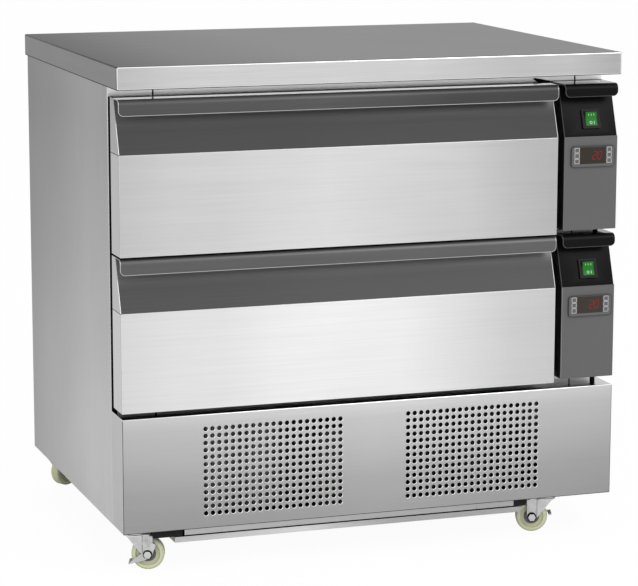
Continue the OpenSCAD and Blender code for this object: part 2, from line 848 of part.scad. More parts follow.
module end_caps(level) {
    crease = 0.6;
    z0 = slope_z(level) + crease;
    z1 = front_top(level) - grip_t;
    foot = crease * slope_back / slope_rise;
    color(steel) for (x = [drawer_x0, drawer_x1 - sheet_t])
        along_x(x, x + sheet_t) polygon([[front_y + foot, z0], [front_y + slope_back, z1],
            [front_back_y, z1], [front_back_y, z0]]);
}

module handle(level) {
    z1 = front_top(level);
    color(dark_grey) {
        difference() {
            along_x(drawer_x0, drawer_x1) lip_outline(z1, lip_h, grip_t, front_back_y);
            lip_corners(drawer_x0, drawer_x1, z1 - lip_h, grip_t);
        }
        along_x(drawer_x0 + sheet_t, drawer_x1 - sheet_t) slope_outline(level, grip_t);
    }
}

module front_core(level) {
    z0 = drawer_z[level] + sheet_t;
    z1 = front_top(level) - grip_t;
    color("whitesmoke") along_x(drawer_x0 + sheet_t, drawer_x1 - sheet_t)
        polygon([[front_y + slope_skin, z0], [front_y + slope_skin, slope_z(level)],
            [front_y + slope_back + slope_skin, z1], [front_back_y, z1], [front_back_y, z0]]);
}

module gasket(level) {
    x0 = drawer_x0 + gasket_in;
    x1 = drawer_x1 - gasket_in;
    z0 = drawer_z[level] + gasket_in;
    z1 = front_top(level) - gasket_in;
    fold = 4;
    color(black) difference() {
        slab(x0, x1, front_back_y, body_front - 0.3, z0, z1);
        slab(x0 + gasket_w, x1 - gasket_w, front_back_y - 1, body_front + 1, z0 + gasket_w,
            z1 - gasket_w);
        difference() {
            slab(x0 - 1, x1 + 1, front_back_y + 7, front_back_y + 7 + fold, z0 - 1, z1 + 1);
            slab(x0 + fold, x1 - fold, front_back_y, body_front, z0 + fold, z1 - fold);
        }
    }
}

module drawer_box(level) {
    x0 = slide_mid_x - box_half;
    x1 = slide_mid_x + box_half;
    y1 = front_back_y + box_d;
    z0 = box_z(level);
    z1 = z0 + box_h;
    color([0.80, 0.81, 0.82]) {
        difference() {
            slab(x0, x1, front_back_y, y1, z0, z1);
            slab(x0 + sheet_t, x1 - sheet_t, front_back_y + sheet_t, y1 - sheet_t, z0 + sheet_t,
                z1 + 1);
        }
        slab(slide_mid_x - divider_w / 2, slide_mid_x + divider_w / 2, front_back_y + sheet_t,
            y1 - sheet_t, z1 - 6, z1);
        slide_sides() slab(inner_in, slide_w, rail_y0, rail_y0 + rail_l,
            rail_z(level) - inner_h / 2, rail_z(level) + inner_h / 2);
    }
}

module upper_front_skin() { front_skin(1); }
module upper_end_caps() { end_caps(1); }
module upper_handle() { handle(1); }
module upper_front_core() { front_core(1); }
module upper_gasket() { gasket(1); }
module upper_drawer_box() { drawer_box(1); }
module lower_front_skin() { front_skin(0); }
module lower_end_caps() { end_caps(0); }
module lower_handle() { handle(0); }
module lower_front_core() { front_core(0); }
module lower_gasket() { gasket(0); }
module lower_drawer_box() { drawer_box(0); }

// Places children on the grip slope of a control box: X across, Y up the slope, Z outward
module on_slope(level) {
    translate([device_x, rocker_y, slope_z(level) + rocker_rise])
        rotate([90 - slope_tilt, 0, 0]) children();
}

module control_housings() {
    t = housing_t;
    color(black) for (level = [0, 1]) {
        z0 = drawer_z[level] + control_lift;
        z1 = front_top(level);
        difference() {
            along_x(control_x0, side_x) lip_outline(z1, control_lip_h, t, body_front);
            lip_corners(control_x0, side_x, z1 - control_lip_h, t);
        }
        difference() {
            along_x(control_x0, side_x) polygon([[front_y + face_t, z0],
                [front_y + face_t, slope_z(level)],
                [front_y + slope_back * (z1 - t - slope_z(level)) / slope_rise, z1 - t],
                [body_front, z1 - t], [body_front, z0]]);
            along_x(control_x0 + t, side_x - t) polygon([[front_y + face_t - 1, z0 + t],
                [front_y + face_t - 1, slope_z(level) - t],
                [front_y + slope_skin + t, slope_z(level)],
                [front_y + slope_back + 2 * t, z1 - 2 * t],
                [body_front + 1, z1 - 2 * t], [body_front + 1, z0 + t]]);
            on_slope(level) cube([rocker_w + 2 * (frame_gap + frame_wall) + 0.4,
                rocker_l + 2 * (frame_gap + frame_wall) + 0.4, 30], center = true);
        }
    }
}

module control_faces() {
    color([0.40, 0.40, 0.41]) for (level = [0, 1])
        along_y(front_y, front_y + face_t) difference() {
            translate([control_x0, drawer_z[level] + control_lift])
                square([control_w, face_h - control_lift]);
            translate([device_x, slope_z(level) - bezel_drop])
                square([ctl_body_w + 0.4, ctl_body_h + 0.4], center = true);
        }
}

module controller_bezels() {
    color([0.22, 0.22, 0.23]) for (level = [0, 1])
        translate([device_x, 0, slope_z(level) - bezel_drop]) difference() {
            union() {
                along_y(front_y - bezel_t, front_y) round_rect(bezel_w, bezel_h, bezel_r);
                along_y(front_y - eps, front_y + ctl_body_d)
                    square([ctl_body_w, ctl_body_h], center = true);
            }
            translate([0, 0, window_rise])
                along_y(front_y - bezel_t - 1, front_y - bezel_t + window_t)
                    square([window_w + 0.2, window_h + 0.2], center = true);
        }
}

module display_windows() {
    color([0.16, 0.13, 0.10]) for (level = [0, 1])
        translate([device_x, 0, slope_z(level) - bezel_drop + window_rise])
            along_y(front_y - bezel_t, front_y - bezel_t + window_t)
                square([window_w, window_h], center = true);
}

module rocker_frames() {
    hole_w = rocker_w + 2 * frame_gap;
    hole_l = rocker_l + 2 * frame_gap;
    color(black) for (level = [0, 1]) on_slope(level) difference() {
        union() {
            linear_extrude(height = frame_t)
                round_rect(hole_w + 2 * frame_margin, hole_l + 2 * frame_margin, 2);
            translate([0, 0, -well_d / 2]) cube([hole_w + 2 * frame_wall,
                hole_l + 2 * frame_wall, well_d + eps], center = true);
        }
        translate([0, 0, 10 - well_d + 2]) cube([hole_w, hole_l, 20], center = true);
        translate([0, 0, rocker_pivot]) rotate([0, 90, 0])
            cylinder(h = hole_w + 2 * frame_wall + 0.4, r = rocker_pin_r + run_clear, center = true);
    }
}

module rocker(level) {
    half = rocker_l / 2;
    color([0.10, 0.62, 0.18]) on_slope(level) translate([0, 0, rocker_pivot])
        rotate([rocker_tilt, 0, 0]) {
            translate([-rocker_w / 2, 0, 0]) rotate([90, 0, 90])
                linear_extrude(height = rocker_w)
                    polygon([[-half, -5], [-half, 3.5], [0, 1.5], [half, 3.5], [half, -5]]);
            rotate([0, 90, 0])
                cylinder(h = rocker_w + 2 * frame_gap + 2 * frame_wall - 0.8, r = rocker_pin_r,
                    center = true);
        }
}

module upper_rocker() { rocker(1); }
module lower_rocker() { rocker(0); }

module castor_plates() {
    head_r = 8;
    color(zinc) for (x = castor_x, y = castor_y) translate([x, y, 0]) {
        slab(-plate_w / 2, plate_w / 2, -plate_w / 2, plate_w / 2, floor_gap - castor_plate_t,
            floor_gap);
        translate([0, 0, crown_top + crown_gap])
            cylinder(h = floor_gap - castor_plate_t - crown_top - crown_gap + eps, r = 20);
        translate([0, 0, crown_top - crown_t - crown_gap])
            cylinder(h = crown_t + 2 * crown_gap + 1, r = kingpin_r);
        translate([0, 0, crown_top - crown_t - crown_gap - 2.4]) cylinder(h = 2.4, r = head_r);
    }
}

// Puts children at castor number i, with X along its trail
module at_castor(i) {
    turn = [turn_fl, turn_fr, turn_rl, turn_rr][i];
    translate([castor_x[i % 2], castor_y[floor(i / 2)], 0]) rotate([0, 0, turn]) children();
}

module fork(i) {
    leg_in = wheel_w / 2 + fork_gap;
    leg_out = leg_in + fork_t;
    crown_z = crown_top - crown_t;
    axle_reach = leg_out + pedal_t + 2 * pedal_gap;
    color(zinc) at_castor(i) {
        difference() {
            union() {
                slab(-16, 26, -leg_out, leg_out, crown_z, crown_top);
                translate([0, 0, crown_z]) cylinder(h = crown_t, r = 21);
                for (y = [-leg_out, leg_in])
                    along_y(y, y + fork_t) {
                        polygon([[-16, crown_top - eps], [26, crown_top - eps],
                            [trail + 9, wheel_r], [trail - 8, wheel_r - 4]]);
                        translate([trail, wheel_r]) circle(r = 9);
                    }
            }
            translate([0, 0, crown_z - 1]) cylinder(h = crown_t + 2, r = kingpin_r + run_clear);
            translate([trail, 0, wheel_r]) rotate([90, 0, 0])
                cylinder(h = 3 * leg_out, r = axle_r + run_clear, center = true);
        }
        translate([trail, 0, wheel_r]) {
            translate([0, axle_reach, 0]) rotate([90, 0, 0])
                cylinder(h = 2 * axle_reach, r = axle_r);
            for (s = [-1, 1])
                translate([0, s * (axle_reach + 2), 0]) rotate([90, 0, 0])
                    cylinder(h = 4, r = axle_r + 3, center = true, $fn = 6);
        }
    }
}

module wheel(i) {
    half = wheel_w / 2;
    hub_r = 11;
    color([0.93, 0.93, 0.78]) at_castor(i) translate([trail, 0, wheel_r]) rotate([90, 0, 0])
        rotate_extrude() polygon([[axle_r + run_clear, -half - 1.5], [hub_r, -half - 1.5],
            [hub_r, -half + 2.5], [wheel_r - 8, -half + 2.5], [wheel_r - 7, -half],
            [wheel_r - 3, -half], [wheel_r - 0.8, -half + 1.6], [wheel_r, -half + 4],
            [wheel_r, half - 4], [wheel_r - 0.8, half - 1.6], [wheel_r - 3, half],
            [wheel_r - 7, half], [wheel_r - 8, half - 2.5], [hub_r, half - 2.5],
            [hub_r, half + 1.5], [axle_r + run_clear, half + 1.5]]);
}

// Brake pedal turned up by angle a, with a foot pad that crosses under the fork's crown
module pedal(i, a) {
    y0 = -(wheel_w / 2 + fork_gap + fork_t + pedal_gap + pedal_t);
    color("gainsboro") at_castor(i) translate([trail, 0, wheel_r]) rotate([0, a, 0]) {
        along_y(y0, y0 + pedal_t) difference() {
            union() {
                circle(r = 8.5);
                polygon([[0, 8.5], [0, -8.5], [-pad_reach, -pad_drop], [-pad_reach, pad_t - pad_drop]]);
                polygon([[0, 8.5], [4, -7.5], [20, 11], [15, 17]]);
            }
            circle(r = axle_r + run_clear);
        }
        slab(-pad_reach - 3, -pad_reach + 3, y0, wheel_w / 2 + fork_gap, -pad_drop,
            pad_t - pad_drop);
    }
}

module front_left_fork() { fork(0); }
module front_right_fork() { fork(1); }
module rear_left_fork() { fork(2); }
module rear_right_fork() { fork(3); }
module front_left_wheel() { wheel(0); }
module front_right_wheel() { wheel(1); }
module rear_left_wheel() { wheel(2); }
module rear_right_wheel() { wheel(3); }
module left_brake_pedal() { pedal(0, -pedal_down); }
module right_brake_pedal() { pedal(1, pedal_up); }

worktop();
worktop_core();
left_side_panel();
right_side_panel();
back_panel();
base_plate();
face_frame();
insulation();
upper_liner();
lower_liner();
air_baffles();
evaporators();
fixed_rails();
lower_panel();
bottom_strip();
base_tray();
screws();
compressors();
condensers();
fan_shrouds();
fan_motors();
refrigerant_pipes();
electrical_box();
mains_inlet();
control_housings();
control_faces();
controller_bezels();
display_windows();
rocker_frames();
castor_plates();
upper_front_skin();
upper_end_caps();
upper_handle();
upper_front_core();
upper_gasket();
upper_drawer_box();
upper_mid_rails();
lower_front_skin();
lower_end_caps();
lower_handle();
lower_front_core();
lower_gasket();
lower_drawer_box();
lower_mid_rails();
left_condenser_fan();
right_condenser_fan();
upper_evaporator_fan();
lower_evaporator_fan();
upper_rocker();
lower_rocker();
front_left_fork();
front_right_fork();
rear_left_fork();
rear_right_fork();
front_left_wheel();
front_right_wheel();
rear_left_wheel();
rear_right_wheel();
left_brake_pedal();
right_brake_pedal();
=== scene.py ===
"""Looks of a refrigerated counter with two wide drawers, control boxes and castors.

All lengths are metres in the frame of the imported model: the origin lies on the floor
below the middle of the worktop, the drawers face -Y and +Z is up.
"""
import json
import logging
import math
from dataclasses import dataclass, replace
from enum import Enum
from functools import lru_cache
from typing import Callable, Sequence

import bmesh
import bpy
from mathutils import Matrix, Vector
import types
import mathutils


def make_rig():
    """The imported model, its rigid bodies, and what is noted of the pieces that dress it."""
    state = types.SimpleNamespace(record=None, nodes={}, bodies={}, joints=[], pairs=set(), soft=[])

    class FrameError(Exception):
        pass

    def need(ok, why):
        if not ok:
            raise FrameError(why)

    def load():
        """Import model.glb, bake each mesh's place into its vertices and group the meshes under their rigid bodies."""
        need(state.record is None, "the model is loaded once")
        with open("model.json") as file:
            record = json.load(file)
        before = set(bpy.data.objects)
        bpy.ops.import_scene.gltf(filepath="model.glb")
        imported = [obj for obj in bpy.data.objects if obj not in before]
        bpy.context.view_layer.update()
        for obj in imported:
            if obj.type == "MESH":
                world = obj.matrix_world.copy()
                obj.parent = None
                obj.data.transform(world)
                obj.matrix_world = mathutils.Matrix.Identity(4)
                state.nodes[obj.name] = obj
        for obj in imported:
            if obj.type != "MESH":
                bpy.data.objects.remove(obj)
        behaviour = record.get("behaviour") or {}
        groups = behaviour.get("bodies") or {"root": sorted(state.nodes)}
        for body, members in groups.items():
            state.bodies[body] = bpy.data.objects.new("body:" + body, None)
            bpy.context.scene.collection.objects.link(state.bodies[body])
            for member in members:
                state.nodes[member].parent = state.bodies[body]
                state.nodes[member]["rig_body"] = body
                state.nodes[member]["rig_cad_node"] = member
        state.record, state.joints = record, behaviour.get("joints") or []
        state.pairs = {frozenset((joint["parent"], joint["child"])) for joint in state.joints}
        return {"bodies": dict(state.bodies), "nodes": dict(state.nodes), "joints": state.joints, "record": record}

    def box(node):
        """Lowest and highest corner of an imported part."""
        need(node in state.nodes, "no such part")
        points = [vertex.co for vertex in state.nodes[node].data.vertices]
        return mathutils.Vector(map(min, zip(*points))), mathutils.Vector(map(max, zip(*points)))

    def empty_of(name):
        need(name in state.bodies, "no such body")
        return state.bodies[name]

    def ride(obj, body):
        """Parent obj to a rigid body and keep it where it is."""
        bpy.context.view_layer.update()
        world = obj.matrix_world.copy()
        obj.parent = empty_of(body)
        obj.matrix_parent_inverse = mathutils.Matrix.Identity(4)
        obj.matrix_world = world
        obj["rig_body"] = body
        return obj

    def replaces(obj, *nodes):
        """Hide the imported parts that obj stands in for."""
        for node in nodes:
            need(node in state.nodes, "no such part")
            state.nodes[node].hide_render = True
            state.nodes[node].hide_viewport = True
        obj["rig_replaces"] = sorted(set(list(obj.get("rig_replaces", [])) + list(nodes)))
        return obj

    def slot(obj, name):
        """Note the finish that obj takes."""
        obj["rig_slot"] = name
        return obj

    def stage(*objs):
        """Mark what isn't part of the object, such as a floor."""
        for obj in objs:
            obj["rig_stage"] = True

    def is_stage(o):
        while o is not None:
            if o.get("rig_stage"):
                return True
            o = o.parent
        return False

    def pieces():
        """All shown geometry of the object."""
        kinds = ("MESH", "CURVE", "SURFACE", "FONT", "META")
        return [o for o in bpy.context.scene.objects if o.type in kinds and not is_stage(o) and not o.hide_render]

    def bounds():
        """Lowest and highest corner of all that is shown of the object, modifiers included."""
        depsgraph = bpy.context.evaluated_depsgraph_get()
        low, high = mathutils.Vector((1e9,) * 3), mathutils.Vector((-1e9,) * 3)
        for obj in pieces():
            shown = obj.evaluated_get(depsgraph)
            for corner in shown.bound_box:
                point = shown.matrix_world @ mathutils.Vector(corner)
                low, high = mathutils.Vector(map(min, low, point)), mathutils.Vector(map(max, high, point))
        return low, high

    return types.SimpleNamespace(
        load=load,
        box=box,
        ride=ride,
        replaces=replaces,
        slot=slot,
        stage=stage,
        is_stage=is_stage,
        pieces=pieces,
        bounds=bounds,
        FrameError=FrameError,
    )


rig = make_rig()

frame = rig.load()
CAD_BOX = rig.bounds()
LOG = logging.getLogger("counter")
BODY_OF = {node: body for body, nodes in frame["record"]["behaviour"]["bodies"].items()
           for node in nodes}
SLOT_OF = {part["node"]: part["material_slot"] for part in frame["record"]["subparts"]}
LEVELS = ("upper", "lower")
X, Y, Z = Vector((1, 0, 0)), Vector((0, 1, 0)), Vector((0, 0, 1))
# Least part along an axis of a direction that counts as square on, and ever less so
SQUARE, MOSTLY, PARTLY, HALFWAY, BARELY = 0.99, 0.9, 0.7, 0.5, 0.15
# How close to a plane a face lies that counts as on it, and a point that counts as in it
TOUCH, NEAR, HAIR = 0.0001, 0.0002, 1e-5
# Gap and angle up to which a CAD mesh's points are merged and its faces joined
MERGE, FLAT_ANGLE = 2e-6, math.radians(0.5)
# Edges sharper than the first angle are rounded, and those past the second stay hard
ROUND_ANGLE, HARD_ANGLE = math.radians(32), math.radians(34)
# Middle of a noise, which is spread over a finish's whole range
NOISE_BAND = (0.3, 0.7)
# How often large soft patches change per metre, and how much finer noise each noise has
PATCHES, FINE_DETAIL, SOFT_DETAIL = (4.0, 4.0, 4.0), 3.0, 1.0
# Share by which the roughness varies, roughness of a clear coat and depth of the bumps
ROUGH_SHARE, COAT_ROUGH, BUMP_DEPTH = 0.12, 0.12, 0.0004
Test = Callable[[Vector, Vector], bool]
Triple = Colour = tuple[float, float, float]
Tree = bpy.types.NodeTree
Socket = bpy.types.NodeSocket
Inputs = dict[str | int, object]


def mm(x: float, y: float, z: float) -> Vector:
    """Turns millimetres into a point in metres."""
    return Vector((x, y, z)) / 1000


def grey(level: float) -> Colour:
    """Gives the linear grey of a display level from 0 to 255."""
    return ((level / 255) ** 2.2,) * 3


def faces(way: Vector, least: float = SQUARE) -> Test:
    """Gives a test for faces that point along a way."""
    return lambda place, normal: normal.dot(way) > least


def lies_along(way: Vector) -> Test:
    """Gives a test for faces or edges whose direction is along a line, either way."""
    return lambda place, direction: abs(direction.dot(way)) > SQUARE


def connect(tree: Tree, node: bpy.types.Node, inputs: Inputs) -> None:
    """Sets inputs of a node to values, or links them to other nodes' outputs.

    Args:
        tree: the node tree.
        node: one of its nodes.
        inputs: a value or another node's output for each input that isn't left alone.
    """
    for key, value in inputs.items():
        if isinstance(value, Socket):
            tree.links.new(value, node.inputs[key])
        else:
            node.inputs[key].default_value = value


def add_node(tree: Tree, kind: str, inputs: Inputs, operation: str = "") -> bpy.types.Node:
    """Adds a node to a tree.

    Args:
        tree: the node tree.
        kind: the node's type, without its leading ShaderNode.
        inputs: a value or another node's output for each input that isn't left alone.
        operation: what the node works out, if it has a choice.

    Returns:
        The node.
    """
    node = tree.nodes.new(f"ShaderNode{kind}")
    if operation:
        node.operation = operation
    connect(tree, node, inputs)
    return node


def times(tree: Tree, first: Socket, second: Socket | float) -> Socket:
    """Multiplies two values in a tree."""
    return add_node(tree, "Math", {0: first, 1: second}, "MULTIPLY").outputs[0]


class Pick(Enum):
    """What a selection in edit mode is made of."""

    POINTS = "VERT"
    EDGES = "EDGE"
    FACES = "FACE"


class Edge(float, Enum):
    """How far the edges of a piece are rounded, by how it is made."""

    FIN = 0.0003
    SHEET = 0.0004
    RAIL = 0.0005
    MOULDING = 0.0006
    PRESSING = 0.0007
    BOARD = 0.0008
    CASTING = 0.001
    RUBBER = 0.0012
    SHELL = 0.002


class Grain(Enum):
    """Fine patterns, as how often they change per metre along X, Y and Z."""

    ACROSS = (5.0, 420.0, 420.0)
    DEEP = (420.0, 5.0, 420.0)
    UPRIGHT = (420.0, 420.0, 5.0)
    MOULDED = (800.0, 800.0, 800.0)
    FOAMED = (260.0, 260.0, 260.0)
    SPANGLED = (70.0, 70.0, 70.0)
    CHIPPED = (150.0, 150.0, 300.0)


@dataclass(frozen=True)
class Ramp:
    """A slow change of tone along one axis of the counter: painted shade and highlight.

    Attributes:
        axis: index of the axis.
        stops: (place along the axis in metres, factor on the tone) pairs.
    """

    axis: int
    stops: tuple[tuple[float, float], ...]

    def wire(self, tree: Tree) -> Socket:
        """Adds the ramp to a material.

        Args:
            tree: the material's node tree.

        Returns:
            The factor on the tone.
        """
        start, end = self.stops[0][0], self.stops[-1][0]
        most = max(factor for _, factor in self.stops)
        place = add_node(tree, "TexCoord", {}).outputs["Object"]
        split = add_node(tree, "SeparateXYZ", {0: place})
        span = add_node(tree, "MapRange", {"Value": split.outputs[self.axis], "From Min": start,
                                           "From Max": end})
        ramp = add_node(tree, "ValToRGB", {"Fac": span.outputs["Result"]})
        marks = ramp.color_ramp.elements
        while len(marks) < len(self.stops):
            marks.new(0.5)
        for mark, (at, factor) in zip(marks, self.stops):
            mark.position = (at - start) / (end - start)
            mark.color = (factor / most,) * 3 + (1.0,)
        return times(tree, ramp.outputs["Color"], most)


@dataclass(frozen=True)
class Finish:
    """A surface finish: its tone, gloss and relief vary with noise on Object coordinates.

    Attributes:
        name: the material's name.
        tone: mean colour, linear.
        grain: fine pattern.
        rough: mean roughness.
        metal: metallic share.
        streak: share by which the fine pattern changes the tone.
        cloud: share by which large soft patches change the tone.
        relief: strength of the fine pattern's bump.
        specular: level of the dielectric reflection.
        edge: tint of the reflection at grazing angles.
        coat: weight of a clear coat.
        glow: strength of its own light.
        ramps: painted shade and highlight, as slow changes of tone over the counter.
    """

    name: str
    tone: Colour
    grain: Grain = Grain.MOULDED
    rough: float = 0.4
    metal: float = 0.0
    streak: float = 0.06
    cloud: float = 0.04
    relief: float = 0.1
    specular: float = 0.5
    edge: float = 1.0
    coat: float = 0.0
    glow: float = 0.0
    ramps: tuple[Ramp, ...] = ()

    def _noise(self, tree: Tree, often: Sequence[float], detail: float) -> Socket:
        """Adds noise on Object coordinates.

        Args:
            tree: the material's node tree.
            often: how often the noise changes per metre along X, Y and Z.
            detail: how much finer noise is laid over it.

        Returns:
            The noise, around 0.5.
        """
        place = add_node(tree, "TexCoord", {}).outputs["Object"]
        stretch = add_node(tree, "Mapping", {"Vector": place, "Scale": often})
        return add_node(tree, "TexNoise", {"Vector": stretch.outputs["Vector"], "Scale": 1.0,
                                           "Detail": detail}).outputs["Fac"]

    def _vary(self, tree: Tree, noise: Socket, share: float, mean: float = 1.0) -> Socket:
        """Turns noise into a value that strays from its mean.

        Args:
            tree: the material's node tree.
            noise: the noise.
            share: by which share of its mean the value strays.
            mean: the value's mean.

        Returns:
            The value.
        """
        return add_node(tree, "MapRange", {
            "Value": noise, "From Min": NOISE_BAND[0], "From Max": NOISE_BAND[1],
            "To Min": mean * (1 - share), "To Max": mean * (1 + share)}).outputs["Result"]

    @lru_cache(maxsize=None)
    def build(self) -> bpy.types.Material:
        """Wires the finish as a material.

        Returns:
            The one material of this finish.
        """
        material = bpy.data.materials.new(self.name)
        material.use_nodes = True
        tree = material.node_tree
        skin = tree.nodes["Principled BSDF"]
        fine = self._noise(tree, self.grain.value, FINE_DETAIL)
        soft = self._noise(tree, PATCHES, SOFT_DETAIL)
        light = times(tree, self._vary(tree, fine, self.streak),
                      self._vary(tree, soft, self.cloud))
        # Painted shade and highlight: each ramp lightens or darkens the tone along the counter.
        for ramp in self.ramps:
            light = times(tree, light, ramp.wire(tree))
        tone = add_node(tree, "VectorMath", {0: self.tone, "Scale": light}, "SCALE")
        bump = add_node(tree, "Bump", {"Strength": self.relief, "Distance": BUMP_DEPTH,
                                       "Height": fine})
        connect(tree, skin, {
            "Base Color": tone.outputs[0], "Metallic": self.metal, "Normal": bump.outputs[0],
            "Roughness": self._vary(tree, fine, ROUGH_SHARE, self.rough),
            "Specular IOR Level": self.specular, "Specular Tint": (self.edge,) * 3 + (1.0,),
            "Coat Weight": self.coat, "Coat Roughness": COAT_ROUGH})
        if self.glow:
            connect(tree, skin, {"Emission Color": self.tone + (1.0,),
                                 "Emission Strength": self.glow})
        return material


# Painted reflections on the drawer fronts: lighter in the middle, darker towards the ends.
UPPER_SHADE = Ramp(0, ((-0.46, 0.88), (-0.37, 0.98), (-0.28, 1.02), (-0.19, 1.1), (-0.09, 1.14),
                       (0.05, 1.05), (0.17, 0.96), (0.26, 0.82), (0.35, 0.74)))
LOWER_SHADE = Ramp(0, ((-0.46, 0.95), (-0.37, 1.03), (-0.28, 1.07), (-0.19, 1.17), (-0.09, 1.2),
                       (0.05, 1.15), (0.17, 1.0), (0.26, 0.86), (0.35, 0.8)))
# One steel on the worktop, painted darker on top, lighter in front and mid-grey at the sides for how light falls, with
# painted shade towards the ends.
TOP_STEEL = Finish("worktop_top_steel", grey(148), Grain.ACROSS, 0.5, 0.85, 0.03, 0.02, 0.03,
                   edge=0.45, ramps=(Ramp(0, ((-0.46, 0.55), (-0.3, 0.86), (-0.1, 1.03),
                                              (0.46, 1.06))),))
TOP_FRONT_STEEL = Finish(
    "worktop_front_steel", grey(214), Grain.ACROSS, 0.36, 0.9, 0.03, 0.02, 0.03,
    ramps=(Ramp(0, ((-0.465, 0.83), (-0.372, 0.958), (-0.284, 1.022), (-0.195, 1.036),
                    (-0.105, 1.0), (-0.014, 0.98), (0.079, 0.975), (0.172, 0.9),
                    (0.267, 0.82), (0.363, 0.86), (0.45, 0.7))),))
TOP_SIDE_STEEL = Finish("worktop_side_steel", grey(153), Grain.DEEP, 0.45, 0.9, 0.03, 0.03, 0.03,
                        edge=0.7)
# Painted highlight on rounded folds and on the bright edges of sheets.
FOLD_HIGHLIGHT = Finish("painted_fold_highlight", grey(246), Grain.ACROSS, 0.3, 0.85, 0.03, 0.0, 0.02)
# Painted reflections on the side panels: lighter towards the front and much lighter towards the bottom.
SIDE_STEEL = Finish(
    "side_panel_steel", grey(166), Grain.UPRIGHT, 0.45, 0.9, 0.05, 0.03, 0.04, edge=0.75,
    ramps=(Ramp(1, ((-0.272, 1.18), (-0.12, 1.17), (0.1, 1.0), (0.344, 0.84))),
           Ramp(2, ((0.1, 1.62), (0.2, 1.6), (0.5, 1.26), (0.78, 0.98), (0.845, 1.0)))))
BACK_STEEL = Finish("back_panel_steel", grey(165), Grain.UPRIGHT, 0.45, 0.9, 0.05, 0.03, 0.04)
# Face frame steel, painted lighter than its own tone to make up for the worktop's shade over it.
FRAME_STEEL = Finish("face_frame_steel", grey(253), Grain.ACROSS, 0.3, 0.9, 0.02, 0.02, 0.01)
# Painted shade: dark lines on folds, creases and round small parts, where shade falls.
CREASE_SHADE = Finish("painted_crease_shade", grey(56), Grain.ACROSS, 0.5, 0.3, 0.03, 0.0, 0.02,
                      specular=0.2)
SLOT_STEEL = Finish("polished_sheet_steel", grey(244), Grain.ACROSS, 0.1, 1.0, 0.01, 0.0, 0.0)
# The same steel on both drawer fronts; the lower one is painted a lighter tone, as painted light.
UPPER_FRONT_STEEL = Finish("upper_front_steel", grey(214), Grain.ACROSS, 0.38, 0.9, 0.025, 0.02,
                           0.03, ramps=(UPPER_SHADE,))
LOWER_FRONT_STEEL = Finish("lower_front_steel", grey(230), Grain.ACROSS, 0.38, 0.9, 0.025, 0.02,
                           0.03, ramps=(LOWER_SHADE,))
# Painted shade on the end caps: darker on the upper drawer and darker still beside each slope.
CAP_STEEL = Finish("end_cap_steel", grey(222), Grain.UPRIGHT, 0.4, 0.9, 0.03, 0.02, 0.03,
                   ramps=(Ramp(2, ((0.288, 1.0), (0.46, 1.0), (0.468, 0.85), (0.556, 0.82),
                                   (0.562, 0.83), (0.732, 0.83), (0.74, 0.66), (0.829, 0.6))),))
# Painted reflections on the machine panel: lighter towards the top and the middle.
PANEL_STEEL = Finish(
    "machine_panel_steel", grey(186), Grain.ACROSS, 0.4, 0.9, 0.022, 0.02, 0.03,
    ramps=(Ramp(2, ((0.074, 0.81), (0.14, 0.9), (0.2, 1.08), (0.25, 1.2), (0.278, 1.42))),
           Ramp(0, ((-0.46, 0.93), (-0.2, 1.0), (0.0, 1.08), (0.2, 1.0), (0.46, 0.91)))))
# The panel's side returns take the same steel in a lighter painted tone.
RETURN_STEEL = Finish("panel_return_steel", grey(205), Grain.UPRIGHT, 0.42, 0.9, 0.04, 0.03,
                      0.03)
PANEL_TOP = Finish("panel_top_polish", grey(170), Grain.ACROSS, 0.12, 1.0, 0.02, 0.0, 0.01)
# Painted highlight on the rims of the punched holes.
RIM_HIGHLIGHT = Finish("punched_rim_highlight", grey(250), Grain.MOULDED, 0.35, 0.6, 0.05, 0.0, 0.02)
# Painted reflections on the tray's front and the strip below the panel, darker towards the right.
TRAY_STEEL = Finish(
    "base_tray_steel", grey(228), Grain.ACROSS, 0.35, 0.85, 0.03, 0.03, 0.03,
    ramps=(Ramp(0, ((-0.366, 0.8), (-0.22, 0.96), (-0.13, 1.08), (-0.06, 0.86), (0.04, 0.62),
                    (0.288, 0.6))),))
STRIP_STEEL = Finish(
    "panel_strip_steel", grey(195), Grain.ACROSS, 0.35, 0.9, 0.03, 0.03, 0.03,
    ramps=(Ramp(0, ((-0.35, 1.0), (-0.1, 0.96), (0.27, 0.84))),))
LINER_STEEL = Finish("liner_steel", grey(200), Grain.DEEP, 0.35, 0.9, 0.04, 0.03, 0.03)
RAIL_ZINC = Finish("rail_zinc", grey(175), Grain.SPANGLED, 0.42, 0.9, 0.08, 0.05, 0.05)
# Galvanised steel of the base plate, painted dark as the bay's shade.
SHADE_DARKENED_ZINC = Finish("shade_darkened_zinc", grey(70), Grain.SPANGLED, 0.5, 0.6, 0.08, 0.05, 0.05)
CASTOR_ZINC = Finish("castor_zinc", grey(216), Grain.SPANGLED, 0.34, 0.85, 0.1, 0.04, 0.12)
STRAP_ZINC = Finish("castor_strap_zinc", grey(208), Grain.SPANGLED, 0.28, 0.9, 0.08, 0.03, 0.08)
BOLT_STEEL = Finish("bolt_steel", grey(225), Grain.MOULDED, 0.25, 1.0, 0.08, 0.0, 0.05)
# Painted highlight along the grip's lip.
LIP_HIGHLIGHT = Finish("lip_edge_highlight", grey(200), Grain.ACROSS, 0.35, 0.7, 0.05, 0.0, 0.02)
